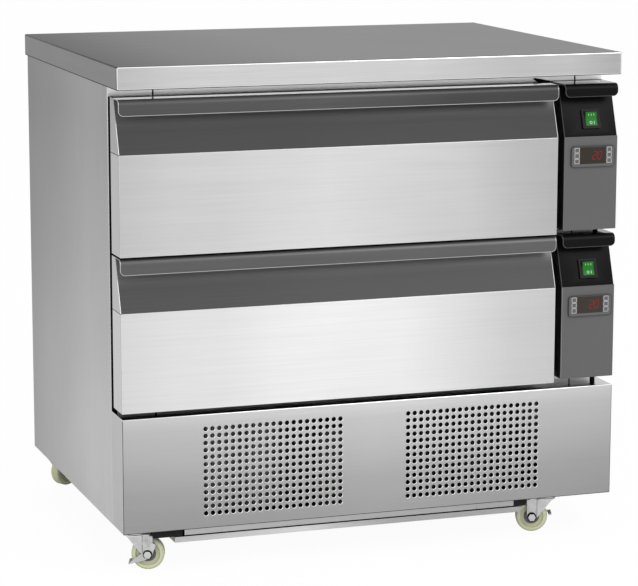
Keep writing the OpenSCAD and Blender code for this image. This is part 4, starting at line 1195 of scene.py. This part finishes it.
@dataclass
class Controls(Assembly):
    """The control boxes with their switches and controllers.

    Attributes:
        middle: place of the controllers and switches along X.
        plane: place of the controllers' front along Y.
        drop: height of the face's top above the controller's middle.
        shade_y: place along Y behind which the boxes' tops are painted black as shade.
        bezel: half the width and height of a controller's front.
        bezel_d: its depth.
        bezel_r: radius of its corners.
        case: half the width and height of the body behind it.
        sill: width and depth of the step inside its edge.
        pane_d: depth of the recess for its window.
        pane_z: half the height of the recess.
        window_rise: height of the window's middle above the controller's.
        key: half the width and height of a key field.
        key_x: distance of the key fields from the controller's middle.
        key_step: spacing of the key fields.
        key_y: places of a key field's front and back behind the controller's front.
        key_r: radius of its corners.
        line: width of its outline.
        shown: the lit segments of each digit.
        digit: width, height and stroke of a digit.
        digit_gap: gap between the digits.
        digit_x: place of the first digit's left edge beside the middle.
        digit_y: places of the digits' front and back behind the controller's front.
        cant: share of a stroke's width that is cut off the corners of its ends.
        tilt: slant of the digits, as a share of their height.
        rise: height of a switch's middle above the face's top.
        slope_y: place of the switches' slope along Y.
        pivot: height of a switch's hinge over the slope.
        slant: angle of the slope off the upright, in degrees.
        press: angle by which a switch leans on its slope, in degrees.
        lens: half the width and height of a switch's lit field.
        hollow: half the height of the hollow in a switch, and its depth.
        mark: half the width of a stroke on it, and places of its back and front.
        mark_x: distance of the outer strokes from its middle.
        mark_y: places of the upper and the lower marks up from its middle.
        mark_h: heights of the upper and the lower strokes.
        ring: outer and inner radius of the round mark on it.
        ring_x: place of that mark beside its middle.
        face: height of its face's middle over its hinge.
    """

    middle: float = 0.413
    plane: float = -0.349
    drop: float = 0.036
    shade_y: float = -0.284
    bezel: tuple[float, float] = (0.0425, 0.019)
    bezel_d: float = 0.003
    bezel_r: float = 0.006
    case: tuple[float, float] = (0.0355, 0.0145)
    sill: tuple[float, float] = (0.0013, 0.0003)
    pane_d: float = 0.0011
    pane_z: float = 0.0151
    window_rise: float = 0.002
    key: tuple[float, float] = (0.0046, 0.0044)
    key_x: float = 0.0315
    key_step: float = 0.0099
    key_y: tuple[float, float] = (0.00012, 0.00072)
    key_r: float = 0.0012
    line: float = 0.0007
    shown: tuple[str, str] = ("abged", "abcdef")
    digit: tuple[float, float, float] = (0.007, 0.0134, 0.0011)
    digit_gap: float = 0.003
    digit_x: float = -0.0008
    digit_y: tuple[float, float] = (-0.0001, 0.0004)
    cant: float = 0.45
    tilt: float = 0.2
    rise: float = 0.03
    slope_y: float = -0.33497
    pivot: float = 0.001
    slant: float = 20.18
    press: float = 8.0
    lens: tuple[float, float] = (0.0102, 0.0121)
    hollow: tuple[float, float] = (0.013, 0.002)
    mark: tuple[float, float, float] = (0.0007, -0.0003, 0.00025)
    mark_x: float = 0.0052
    mark_y: tuple[float, float] = (0.0072, -0.0068)
    mark_h: tuple[float, float] = (0.0035, 0.006)
    ring: tuple[float, float] = (0.0027, 0.0015)
    ring_x: float = -0.0012
    face: float = 0.0015

    def build(self) -> None:
        """Builds the control boxes."""
        shells = Bench.copy_of("control_housings", "control_housing_shells")
        # The rounded edges take a painted highlight.
        shells.dress(GLOSS_BLACK).soften(Edge.RUBBER, 2, HOUSING_EDGE_HIGHLIGHT)
        shells.cut(Y, self.shade_y, faces(Z))
        shells.paint(HOUSING_TOP, faces(Z))
        # Painted shade: the rear of the boxes' tops is painted black.
        shells.paint(SEAL_AND_SHADE_BLACK, lambda place, way: way.z > SQUARE and place.y > self.shade_y)
        self.stand(shells, "control_housings")
        plates = self.refine("control_faces", "control_face_plates", Edge.PRESSING, FACE_GREY,
                             fold=FACE_EDGE_HIGHLIGHT)
        # Only the edges that face left keep the painted highlight.
        plates.paint(FACE_GREY, faces(X, -BARELY))
        self.bezels()
        self.refine("display_windows", "display_panes", Edge.FIN, WINDOW_SMOKE)
        self.refine("rocker_frames", "switch_frames", Edge.MOULDING, FRAME_BLACK, fold=FRAME_RIM_HIGHLIGHT)
        for level in LEVELS:
            self.switch(level)
            self.controller(level)

    def _seat(self, level: str) -> Vector:
        """Gives the middle of a controller's front."""
        return Vector((self.middle, self.plane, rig.box(f"{level}_front_skin")[1].z - self.drop))

    def bezels(self) -> None:
        """Builds the controllers' front frames and their bodies behind the faces."""
        left, right = (corner.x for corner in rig.box("display_windows"))
        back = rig.box("controller_bezels")[1].y - self.plane
        pane = ((right - left) / 2 + NEAR, self.pane_z)
        pieces = []
        for level in LEVELS:
            seat = self._seat(level)
            bezel = Bench.about("bezel", seat, self.bezel, (0, self.bezel_d)).dress(BEZEL_DARK)
            bezel.choose(Pick.EDGES, lies_along(Y)).bevel(self.bezel_r, 5)
            bezel.choose(Pick.FACES, faces(-Y)).inset(*self.sill)
            bezel.paint(FACE_GREY, lambda place, way: way.y < -SQUARE
                        and (place - seat).xz.length < self.bezel_r)
            bezel.punch(Bench.about("opening", seat + self.window_rise * Z, pane,
                                    (-self.pane_d, self.pane_d)))
            case = Bench.about("case", seat, self.case, (self.bezel_d, back)).dress(BEZEL_DARK)
            pieces += [bezel.soften(NEAR, 1), case]
        self.stand(Bench.joined("controller_fronts", pieces), "controller_bezels")

    def switch(self, level: str) -> None:
        """Builds a lit rocker and its marks.

        Args:
            level: upper or lower.
        """
        slope = Matrix.Rotation(math.radians(90 - self.slant), 4, "X")
        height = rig.box(f"{level}_front_skin")[1].z + self.rise
        pivot = Vector((self.middle, self.slope_y, height)) + slope @ (self.pivot * Z)
        seat = (Matrix.Translation(pivot) @ slope
                @ Matrix.Rotation(math.radians(self.press), 4, "X"))
        self.rocker(f"{level}_rocker", seat)
        upper, lower = (self._on_key(along, seat) for along in self.mark_y)
        marks = [self.stroke(x, self.mark_h[0], upper) for x in (-self.mark_x, 0.0, self.mark_x)]
        marks.append(self.stroke(self.mark_x, self.mark_h[1], lower))
        back, front = (self.ring_x * X + depth * Z for depth in self.mark[1:])
        outer, inner = self.ring
        ring = Bench.rod("ring", back, front, outer, 16)
        ring.punch(Bench.rod("hole", back - inner * Z, front + inner * Z, inner, 16))
        marks.append(ring.dress(ROCKER_MARK).moved(lower))
        self.add(Bench.joined(f"{level}_switch_marks", marks), f"{level}_rocker", "rocker_green")

    def rocker(self, node: str, seat: Matrix) -> None:
        """Builds a rocker with its lit lens.

        Args:
            node: the CAD node that it stands for.
            seat: the rocker's own place.
        """
        half_x, half_y = self.lens
        back, up, out = seat.inverted(), seat.to_3x3() @ Y, seat.to_3x3() @ Z
        key = Bench.copy_of(node, f"{node}_key").dress(ROCKER_BODY).soften(Edge.MOULDING)
        for side in (-1, 1):
            key.cut(X, self.middle + side * half_x)
            key.cut(up, up.dot(seat @ (side * half_y * Y)))

        def on_lens(place: Vector, way: Vector) -> bool:
            """Says if a face is part of the lit field.

            Args:
                place: its middle.
                way: its normal.

            Returns:
                If it is.
            """
            x, y, z = back @ place
            return (way.dot(out) > PARTLY and z > self.pivot and abs(x) < half_x
                    and abs(y) < half_y)

        self.stand(key.paint(ROCKER_GREEN, on_lens), node)

    def _on_key(self, along: float, seat: Matrix) -> Matrix:
        """Gives a place on a rocker's hollow face.

        Args:
            along: how far the place is up from the rocker's middle.
            seat: the rocker's own place.

        Returns:
            The place.
        """
        reach, depth = self.hollow
        lean = math.copysign(math.atan2(depth, reach), along)
        return (seat @ Matrix.Translation((0, along, self.face + abs(along) * depth / reach))
                @ Matrix.Rotation(lean, 4, "X"))

    def stroke(self, x: float, length: float, place: Matrix) -> Bench:
        """Builds an upright stroke on a rocker.

        Args:
            x: its distance from the rocker's middle.
            length: its length.
            place: the place on the rocker's face.

        Returns:
            The bench that holds it.
        """
        half, back, front = self.mark
        stroke = Bench.block("stroke", (x - half, -length / 2, back),
                             (x + half, length / 2, front))
        return stroke.dress(ROCKER_MARK).soften(NEAR, 1).moved(place)

    def controller(self, level: str) -> None:
        """Builds the key fields and the digits of a controller.

        Args:
            level: upper or lower.
        """
        window = self._seat(level) + self.window_rise * Z
        keys = [self.key_field(window + Vector((side * self.key_x, 0, row * self.key_step)))
                for side in (-1, 1) for row in (-1, 0, 1)]
        self.add(Bench.joined(f"{level}_key_fields", keys), "cabinet", "bezel_grey")
        bars = []
        for number, lit in enumerate(self.shown):
            left = self.digit_x + number * (self.digit[0] + self.digit_gap)
            bars += [self.segment(letter, window + left * X) for letter in lit]
        digits = Bench.joined(f"{level}_digits", bars).dress(DIGIT_RED)
        self.add(digits, "cabinet", "window_dark")

    def key_field(self, seat: Vector) -> Bench:
        """Builds the printed frame of one key.

        Args:
            seat: the place of its middle on the controller's front.

        Returns:
            The bench that holds it.
        """
        field = Bench.about("key", seat, self.key, self.key_y).dress(KEY_LINE)
        field.choose(Pick.EDGES, lies_along(Y)).bevel(self.key_r, 2)
        field.choose(Pick.FACES, faces(-Y)).inset(self.line)
        return field.paint(FACE_GREY, lambda place, way: way.y < -SQUARE
                           and (place - seat).xz.length < self.line)

    def segment(self, letter: str, seat: Vector) -> Bench:
        """Builds one segment of a slanted digit.

        Args:
            letter: which of a digit's seven segments.
            seat: the middle of the digit's left edge.

        Returns:
            The bench that holds it.
        """
        width, height, stroke = self.digit
        half, grow = height / 2, stroke / 2
        (x0, z0), (x1, z1) = {
            "a": ((0, half), (width, half)), "g": ((0, 0), (width, 0)),
            "d": ((0, -half), (width, -half)), "f": ((0, 0), (0, half)),
            "b": ((width, 0), (width, half)), "e": ((0, -half), (0, 0)),
            "c": ((width, -half), (width, 0))}[letter]
        in_x, in_z = (grow, -grow) if z0 == z1 else (-grow, grow)
        front, back = self.digit_y
        bar = Bench.block("segment", (x0 + in_x, front, z0 + in_z),
                          (x1 - in_x, back, z1 - in_z))
        bar.choose(Pick.EDGES, lies_along(Y)).bevel(stroke * self.cant, 1)
        slanted = Matrix.Translation(seat)
        slanted[0][2] = self.tilt
        return bar.moved(slanted)


@dataclass
class MachinePanel(Assembly):
    """The perforated panel, the strip below it and the base tray.

    Attributes:
        sheet: thickness of the panel.
        fold: how far its folds are rounded.
        middles: places of the two grilles' middles along X.
        step_x: spacing of the holes across.
        step_z: spacing of the holes upward.
        columns: number of holes in a row.
        rows: number of rows.
        hole_r: radius of a hole.
        rim: width of its painted highlight rim.
        edge: width of the panel's outer edge that counts as its return.
        side_x: place beyond which the screws are in the panel's sides.
        dark_blocks: both black blocks behind the strip's ends, each as (name, left end, right end) in millimetres.
        dark_block_yz: their front, back, foot and top in millimetres.
        dark_block_sunk: width of their rim and depth of the field in it.
    """

    sheet: float = 0.0012
    fold: float = 0.0014
    middles: tuple[float, float] = (-0.188, 0.188)
    step_x: float = 0.0124
    step_z: float = 0.0126
    columns: int = 21
    rows: int = 13
    hole_r: float = 0.0042
    rim: float = 0.0007
    edge: float = 0.0005
    side_x: float = 0.45
    dark_blocks: tuple[tuple[str, float, float], ...] = (("left", -406, -352.5), ("right", 272, 298))
    dark_block_yz: tuple[float, float, float, float] = (-338, -330.5, 61, 74)
    dark_block_sunk: tuple[float, float] = (0.002, 0.001)

    def build(self) -> None:
        """Builds the front of the machine bay."""
        low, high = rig.box("lower_panel")
        middle_z = (low.z + high.z) / 2
        half_x, half_z = self.columns * self.step_x / 2, self.rows * self.step_z / 2
        panel = Bench.block("perforated_panel", low, high).dress(PANEL_STEEL)
        panel.choose(Pick.FACES, faces(Y)).remove()
        # The panel's rounded folds are painted shade, and those that face up take the painted highlight.
        panel.soften(self.fold, 2, CREASE_SHADE)
        panel.paint(FOLD_HIGHLIGHT, lambda place, way: BARELY < way.z < SQUARE)
        for side in (-1, 1):
            for middle in self.middles:
                panel.cut(X, middle + side * half_x)
            panel.cut(Z, middle_z + side * half_z)
        panel.choose(Pick.FACES, lambda place, way: way.y < -SQUARE
                     and abs(place.z - middle_z) < half_z
                     and min(abs(place.x - middle) for middle in self.middles) < half_x)
        panel.remove().thicken(self.sheet)
        # The side returns take a lighter painted tone; the insides are painted black as shade.
        panel.paint(RETURN_STEEL, lambda place, way: abs(way.x) > MOSTLY
                    and way.x * place.x > 0 and abs(place.x) > high.x - self.edge)
        panel.paint(SEAL_AND_SHADE_BLACK, lambda place, way: way.y > MOSTLY
                    or way.x * place.x < 0 and abs(way.x) > MOSTLY
                    or way.z * (place.z - middle_z) < 0 and abs(way.z) > MOSTLY)
        panel.paint(PANEL_TOP, lambda place, way: way.z > SQUARE
                    and place.z > high.z - self.edge)
        left = self.grille(Vector((self.middles[0], low.y, middle_z)))
        right = left.twin("right_grille", Matrix.Translation(
            (self.middles[1] - self.middles[0], 0, 0)))
        self.stand(Bench.joined("perforated_panel", (panel, left, right)), "lower_panel")
        self.refine("bottom_strip", "panel_strip", Edge.SHEET, STRIP_STEEL)
        tray = self.refine("base_tray", "slide_in_tray", Edge.MOULDING, TRAY_STEEL)
        # Painted shade: the tray's top is painted black.
        tray.paint(SEAL_AND_SHADE_BLACK, faces(Z))
        screws = self.refine("screws", "panel_screws", Edge.RAIL, STRIP_STEEL)
        # Painted shade: the screws in the sides are painted dark.
        screws.paint(CREASE_SHADE, lambda place, way: abs(place.x) > self.side_x)
        front, back, foot, top = self.dark_block_yz
        for side, start, end in self.dark_blocks:
            # Black blocks that fill the dark space behind the strip's ends.
            dark_block = Bench.block(f"{side}_black_end_block", mm(start, front, foot), mm(end, back, top))
            dark_block.choose(Pick.FACES, faces(-Y)).inset(*self.dark_block_sunk)
            self.add(dark_block.dress(MATT_BLACK).soften(Edge.MOULDING), "cabinet", "housing_black")

    def grille(self, middle: Vector) -> Bench:
        """Builds one punched field from a single hole's cell.

        Args:
            middle: the middle of its front.

        Returns:
            The bench that holds it.
        """
        half_x, half_z = self.step_x / 2, self.step_z / 2
        seat = middle - Vector(((self.columns - 1) * half_x, 0, (self.rows - 1) * half_z))
        cell = Bench.about("left_grille", seat, (half_x, half_z), (0, self.sheet))
        cell.dress(PANEL_STEEL)
        reach = self.hole_r * Y
        cell.punch(Bench.rod("punch", seat - reach, seat + reach, self.hole_r, 16))
        cell.choose(Pick.EDGES, lambda place, way: place.y < seat.y + HAIR
                    and (place - seat).xz.length < self.hole_r + HAIR).bevel(self.rim, 1)
        cell.choose(Pick.FACES, lambda place, way: abs(place.x - seat.x) > half_x - HAIR
                    or abs(place.z - seat.z) > half_z - HAIR).remove()
        # Painted highlight on the holes' rims, and painted shade on their walls and backs.
        cell.paint(RIM_HIGHLIGHT, lambda place, way: -MOSTLY < way.y < -BARELY)
        cell.paint(SEAL_AND_SHADE_BLACK, faces(Y, -BARELY))
        return cell.repeat(self.columns, self.step_x * X).repeat(self.rows, self.step_z * Z)


@dataclass
class MachineBay(Assembly):
    """The refrigeration machines and the electrical parts.

    Attributes:
        blade: half the width and height of a blade in the mains inlet.
        blade_y: places of a blade's ends along Y before the inlet's face.
        blades: places of the blades beside and above its middle, in millimetres.
    """

    blade: tuple[float, float] = (0.001, 0.002)
    blade_y: tuple[float, float] = (-0.0165, -0.0045)
    blades: tuple[tuple[float, float], ...] = ((-7, -2), (0, 3), (7, -2))

    def build(self) -> None:
        """Builds the machine bay."""
        self.refine("compressors", "compressor_pots", Edge.SHELL, BLACK_PAINT)
        self.refine("condensers", "condenser_coils", Edge.FIN, BLACK_COIL, 1)
        self.refine("fan_shrouds", "condenser_shrouds", Edge.MOULDING, SHROUD_BLACK)
        self.refine("fan_motors", "motor_cans", Edge.CASTING, MOTOR_CAST)
        pipes = frame["nodes"]["refrigerant_pipes"]
        pipes.data.materials.clear()
        pipes.data.materials.append(COPPER.build())
        LOG.info("refrigerant_pipes keeps its shape")
        for node in ("left_condenser_fan", "right_condenser_fan", "upper_evaporator_fan",
                     "lower_evaporator_fan"):
            self.refine(node, f"{node}_wheel", Edge.FIN, MATT_BLACK)
        self.refine("electrical_box", "wiring_box", Edge.SHELL, BOX_PLASTIC)
        self.refine("mains_inlet", "mains_socket", Edge.MOULDING, MATT_BLACK)
        low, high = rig.box("mains_inlet")
        face = Vector(((low.x + high.x) / 2, high.y, (low.z + high.z) / 2))
        blades = [Bench.about("blade", face + mm(x, 0, z), self.blade, self.blade_y)
                  .dress(PIN_BRASS).soften(Edge.SHEET) for x, z in self.blades]
        self.add(Bench.joined("inlet_pins", blades), "cabinet", "inlet_plastic")


@dataclass
class Castors(Assembly):
    """The four swivel castors, the front ones with a brake pedal.

    Attributes:
        wheel_r: radius of a wheel.
        wheel_w: its width.
        tread: how far its tread is rounded.
        steps: the rings of its side from outside in, each as (width, depth).
        hub_r: radius of its steel hub.
        rim_r: inner radius of its pale rim.
        bore_r: radius of its bore.
        leg_y: distance of a leg's outer face from the wheel's middle.
        pedal_y: the same for a brake pedal's outer face.
        head_y: the same for the underside of an axle's heads.
        washer_r: radius of the washers.
        boss_at: place of the brake's boss beside and above the axle.
        boss: its rings, each as (radius, sides, distance of the end from the middle).
        strap_r: half the width of a leg's strap.
        strap_top: height of its top above the axle.
        strap_edge: width of the painted shade line round it.
        strap_t: thickness of the painted shade line and of the strap.
        head: distance from the wheel's middle beyond which a fork is a bolt's head.
        turns: how far each castor is swivelled, in degrees.
    """

    wheel_r: float = 0.029
    wheel_w: float = 0.02
    tread: float = 0.0032
    steps: tuple[tuple[float, float], ...] = (
        (0.004, 0.0), (0.001, 0.0022), (0.0064, 0.0), (0.0003, 0.0006), (0.0029, 0.0),
        (0.0002, -0.0042))
    hub_r: float = 0.0143
    rim_r: float = 0.02
    bore_r: float = 0.0041
    leg_y: float = 0.0145
    pedal_y: float = 0.01694
    head_y: float = 0.01718
    washer_r: float = 0.0086
    boss_at: tuple[float, float] = (-0.0035, 0.02)
    boss: tuple[tuple[float, int, float], ...] = ((0.0062, 24, 0.0168), (0.0042, 6, 0.0196))
    strap_r: float = 0.009
    strap_top: float = 0.0325
    strap_edge: float = 0.0008
    strap_t: tuple[float, float] = (0.00012, 0.00015)
    head: float = 0.0172
    turns: tuple[tuple[str, float], ...] = (("front_left", -19), ("front_right", 161),
                                            ("rear_left", 30), ("rear_right", 150))

    def build(self) -> None:
        """Builds the castors."""
        self.refine("castor_plates", "castor_top_plates", Edge.MOULDING, CASTOR_ZINC)
        for corner, turn in self.turns:
            fork = self.refine(f"{corner}_fork", f"{corner}_fork_sheet", Edge.RAIL, CASTOR_ZINC)
            low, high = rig.box(f"{corner}_wheel")
            seat = (Matrix.Translation((low + high) / 2)
                    @ Matrix.Rotation(math.radians(turn), 4, "Z"))
            back = seat.inverted()
            fork.paint(BOLT_STEEL, lambda place, way: abs((back @ place).y) > self.head)
            self.wheel(corner, seat)
            self.axle_rings(corner, seat)
            self.straps(corner, seat)
        for side in ("left", "right"):
            self.refine(f"{side}_brake_pedal", f"{side}_pedal_sheet", Edge.RAIL, CASTOR_ZINC)

    def axle_rings(self, corner: str, seat: Matrix) -> None:
        """Builds the black washers under an axle's heads, and the brake's boss.

        Args:
            corner: which castor.
            seat: the place and turn of its axle.
        """
        braked = corner.startswith("front")
        under = self.pedal_y if braked else self.leg_y
        rings = [Bench.rod("washer", first * Y, last * Y, self.washer_r, 24).dress(MATT_BLACK)
                 for first, last in ((-self.head_y, -under), (self.leg_y, self.head_y))]
        if braked:
            x, z = self.boss_at
            rings += [Bench.rod("boss", Vector((x, NEAR - self.leg_y, z)),
                                Vector((x, -reach, z)), radius, sides).dress(CASTOR_ZINC)
                      for radius, sides, reach in self.boss]
        trim = Bench.joined(f"{corner}_axle_trim", rings).soften(TOUCH, 1).moved(seat)
        self.add(trim, f"{corner}_fork", "castor_zinc")

    def straps(self, corner: str, seat: Matrix) -> None:
        """Builds the flat straps on the outer faces of a fork's legs.

        Args:
            corner: which castor.
            seat: the place and turn of its axle.
        """
        turns = [math.pi * (1 + step / 10) for step in range(11)]
        line_t, strap_t = self.strap_t
        straps = []
        for side in (-1, 1):
            # Each strap has a painted shade line round it.
            for grown, first, thick, finish in (
                    (self.strap_edge, self.leg_y - line_t, line_t, CREASE_SHADE),
                    (0.0, self.leg_y, strap_t, STRAP_ZINC)):
                reach = self.strap_r + grown
                ends = [(reach, self.strap_top), (-reach, self.strap_top)]
                ends += [(reach * math.cos(turn), reach * math.sin(turn)) for turn in turns]
                outline = [Vector((x, side * first, z)) for x, z in ends]
                straps.append(Bench.plate("strap", outline, side * thick * Y).dress(finish))
        pair = Bench.joined(f"{corner}_leg_straps", straps).moved(seat)
        self.add(pair, f"{corner}_fork", "castor_zinc")

    def wheel(self, corner: str, seat: Matrix) -> None:
        """Builds a nylon wheel with its steel hub rings.

        Args:
            corner: which castor.
            seat: the place and turn of its axle.
        """
        half = self.wheel_w / 2
        wheel = Bench.rod(f"{corner}_nylon_wheel", -half * Y, half * Y, self.wheel_r, 64)
        wheel.dress(NYLON)
        wheel.choose(Pick.EDGES, lambda place, way: abs(place.y) > half - HAIR)
        wheel.bevel(self.tread, 3)
        for width, depth in self.steps:
            wheel.choose(Pick.FACES, lambda place, way: abs(way.y) > SQUARE
                         and place.xz.length < self.bore_r).inset(width, depth)
        wheel.punch(Bench.rod("bore", -self.wheel_w * Y, self.wheel_w * Y, self.bore_r, 24))
        wheel.paint(HUB_STEEL, lambda place, way: place.xz.length < self.hub_r)
        wheel.paint(NYLON_RIM, lambda place, way: abs(place.y) > half - TOUCH
                    and self.rim_r < place.xz.length < self.wheel_r - self.tread)
        self.stand(wheel.outward().moved(seat), f"{corner}_wheel")


@dataclass
class Studio:
    """A pale floor, soft lamps and the camera.

    Attributes:
        eye: the camera's place.
        yaw: its turn to the right of +Y, in degrees.
        pitch: its angle below the level, in degrees.
        roll: its turn about its own axis, in degrees.
        focal: its focal length in pixels of the picture.
        picture_w: width of the picture in pixels.
        sensor_w: width of its sensor in millimetres.
        white: level of the floor where the camera sees it.
        seen: share of that white in what the camera sees.
        air: level of the light all round where it isn't seen.
        floor_w: width of the floor.
        lamps: the soft lamps, each as (name, place, target, width, power in watts).
    """

    eye: tuple[float, float, float] = (-1.56455, -4.61668, 1.30764)
    yaw: float = 18.872
    pitch: float = 10.394
    roll: float = 0.087
    focal: float = 2629.6
    picture_w: float = 638
    sensor_w: float = 36.0
    white: float = 1.015
    seen: float = 0.94
    air: float = 0.7
    floor_w: float = 60.0
    lamps: tuple[tuple[str, Triple, Triple, float, float], ...] = (
        ("key_lamp", (1.9, -3.2, 2.9), (0.0, -0.2, 0.45), 2.2, 45.0),
        ("fill_lamp", (-3.2, -1.6, 2.0), (-0.3, 0.0, 0.4), 2.4, 22.0))

    def build(self) -> None:
        """Builds the studio."""
        self.floor()
        self.world()
        for lamp in self.lamps:
            self.lamp(*lamp)
        self.camera()
        bpy.context.scene.view_settings.view_transform = "Standard"

    def floor(self) -> None:
        """Lays a pale floor that keeps the counter's shadow."""
        clear_selection()
        bpy.ops.mesh.primitive_plane_add(size=self.floor_w, location=(0, 0, 0))
        floor = bpy.context.view_layer.objects.active
        floor.name = "studio_floor"
        material = bpy.data.materials.new("studio_floor_paint")
        material.use_nodes = True
        tree = material.node_tree
        skin = tree.nodes["Principled BSDF"]
        connect(tree, skin, {"Base Color": (0.9, 0.9, 0.9, 1), "Roughness": 0.9,
                             "Specular IOR Level": 0.0})
        glow = add_node(tree, "Emission", {"Color": (1, 1, 1, 1), "Strength": self.white})
        rays = add_node(tree, "LightPath", {})
        mix = add_node(tree, "MixShader", {
            0: times(tree, rays.outputs["Is Camera Ray"], self.seen), 1: skin.outputs[0],
            2: glow.outputs[0]})
        connect(tree, tree.nodes["Material Output"], {0: mix.outputs[0]})
        floor.data.materials.append(material)
        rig.stage(floor)

    def world(self) -> None:
        """Surrounds the scene with soft light, white where it is seen."""
        world = bpy.data.worlds.new("studio_air")
        bpy.context.scene.world = world
        world.use_nodes = True
        tree = world.node_tree
        rays = add_node(tree, "LightPath", {}).outputs
        seen = rays["Is Camera Ray"]
        for kind in ("Is Glossy Ray", "Is Transmission Ray"):
            seen = add_node(tree, "Math", {0: seen, 1: rays[kind]}, "MAXIMUM").outputs[0]
        level = add_node(tree, "MapRange", {"Value": seen, "To Min": self.air, "To Max": 1.0})
        connect(tree, tree.nodes["Background"], {"Color": (1, 1, 1, 1),
                                                 "Strength": level.outputs["Result"]})

    def lamp(self, name: str, place: Sequence[float], target: Sequence[float], size: float,
             watts: float) -> None:
        """Hangs a square soft lamp that faces a point.

        Args:
            name: the lamp's name.
            place: its middle.
            target: the point that it faces.
            size: its width.
            watts: its power.
        """
        clear_selection()
        turn = (Vector(target) - Vector(place)).to_track_quat("-Z", "Y").to_euler()
        bpy.ops.object.light_add(type="AREA", location=place, rotation=turn)
        lamp = bpy.context.view_layer.objects.active
        lamp.name = lamp.data.name = name
        lamp.data.size = size
        lamp.data.energy = watts

    def camera(self) -> None:
        """Stands the camera where the photograph was taken from."""
        clear_selection()
        bpy.ops.object.camera_add(location=self.eye)
        camera = bpy.context.view_layer.objects.active
        yaw, pitch, roll = (math.radians(angle) for angle in (self.yaw, self.pitch, self.roll))
        ahead = Vector((math.sin(yaw) * math.cos(pitch), math.cos(yaw) * math.cos(pitch),
                        -math.sin(pitch)))
        right = Vector((math.cos(yaw), -math.sin(yaw), 0))
        down = ahead.cross(right)
        across = right * math.cos(roll) - down * math.sin(roll)
        below = right * math.sin(roll) + down * math.cos(roll)
        turn = Matrix((across, -below, -ahead)).transposed().to_4x4()
        camera.matrix_world = Matrix.Translation(self.eye) @ turn
        camera.data.sensor_fit = "HORIZONTAL"
        camera.data.sensor_width = self.sensor_w
        camera.data.lens = self.sensor_w * self.focal / self.picture_w
        bpy.context.scene.camera = camera


def main() -> None:
    logging.basicConfig(level=logging.INFO, format="%(relativeCreated)7.0f ms  %(message)s")
    for assembly in (Worktop(), Carcass(),
                     Drawer("upper", UPPER_FRONT_STEEL, UPPER_LIP, UPPER_SLOPE),
                     Drawer("lower", LOWER_FRONT_STEEL, LOWER_LIP, LOWER_SLOPE),
                     Controls(), MachinePanel(), MachineBay(), Castors()):
        assembly.build()
    Studio().build()
    low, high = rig.bounds()
    boxes = {"cad_box": [list(corner) for corner in CAD_BOX],
             "visual_box": [list(low), list(high)]}
    with open("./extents.json", "w", encoding="utf-8") as file:
        json.dump(boxes, file)


if __name__ == "__main__":
    main()
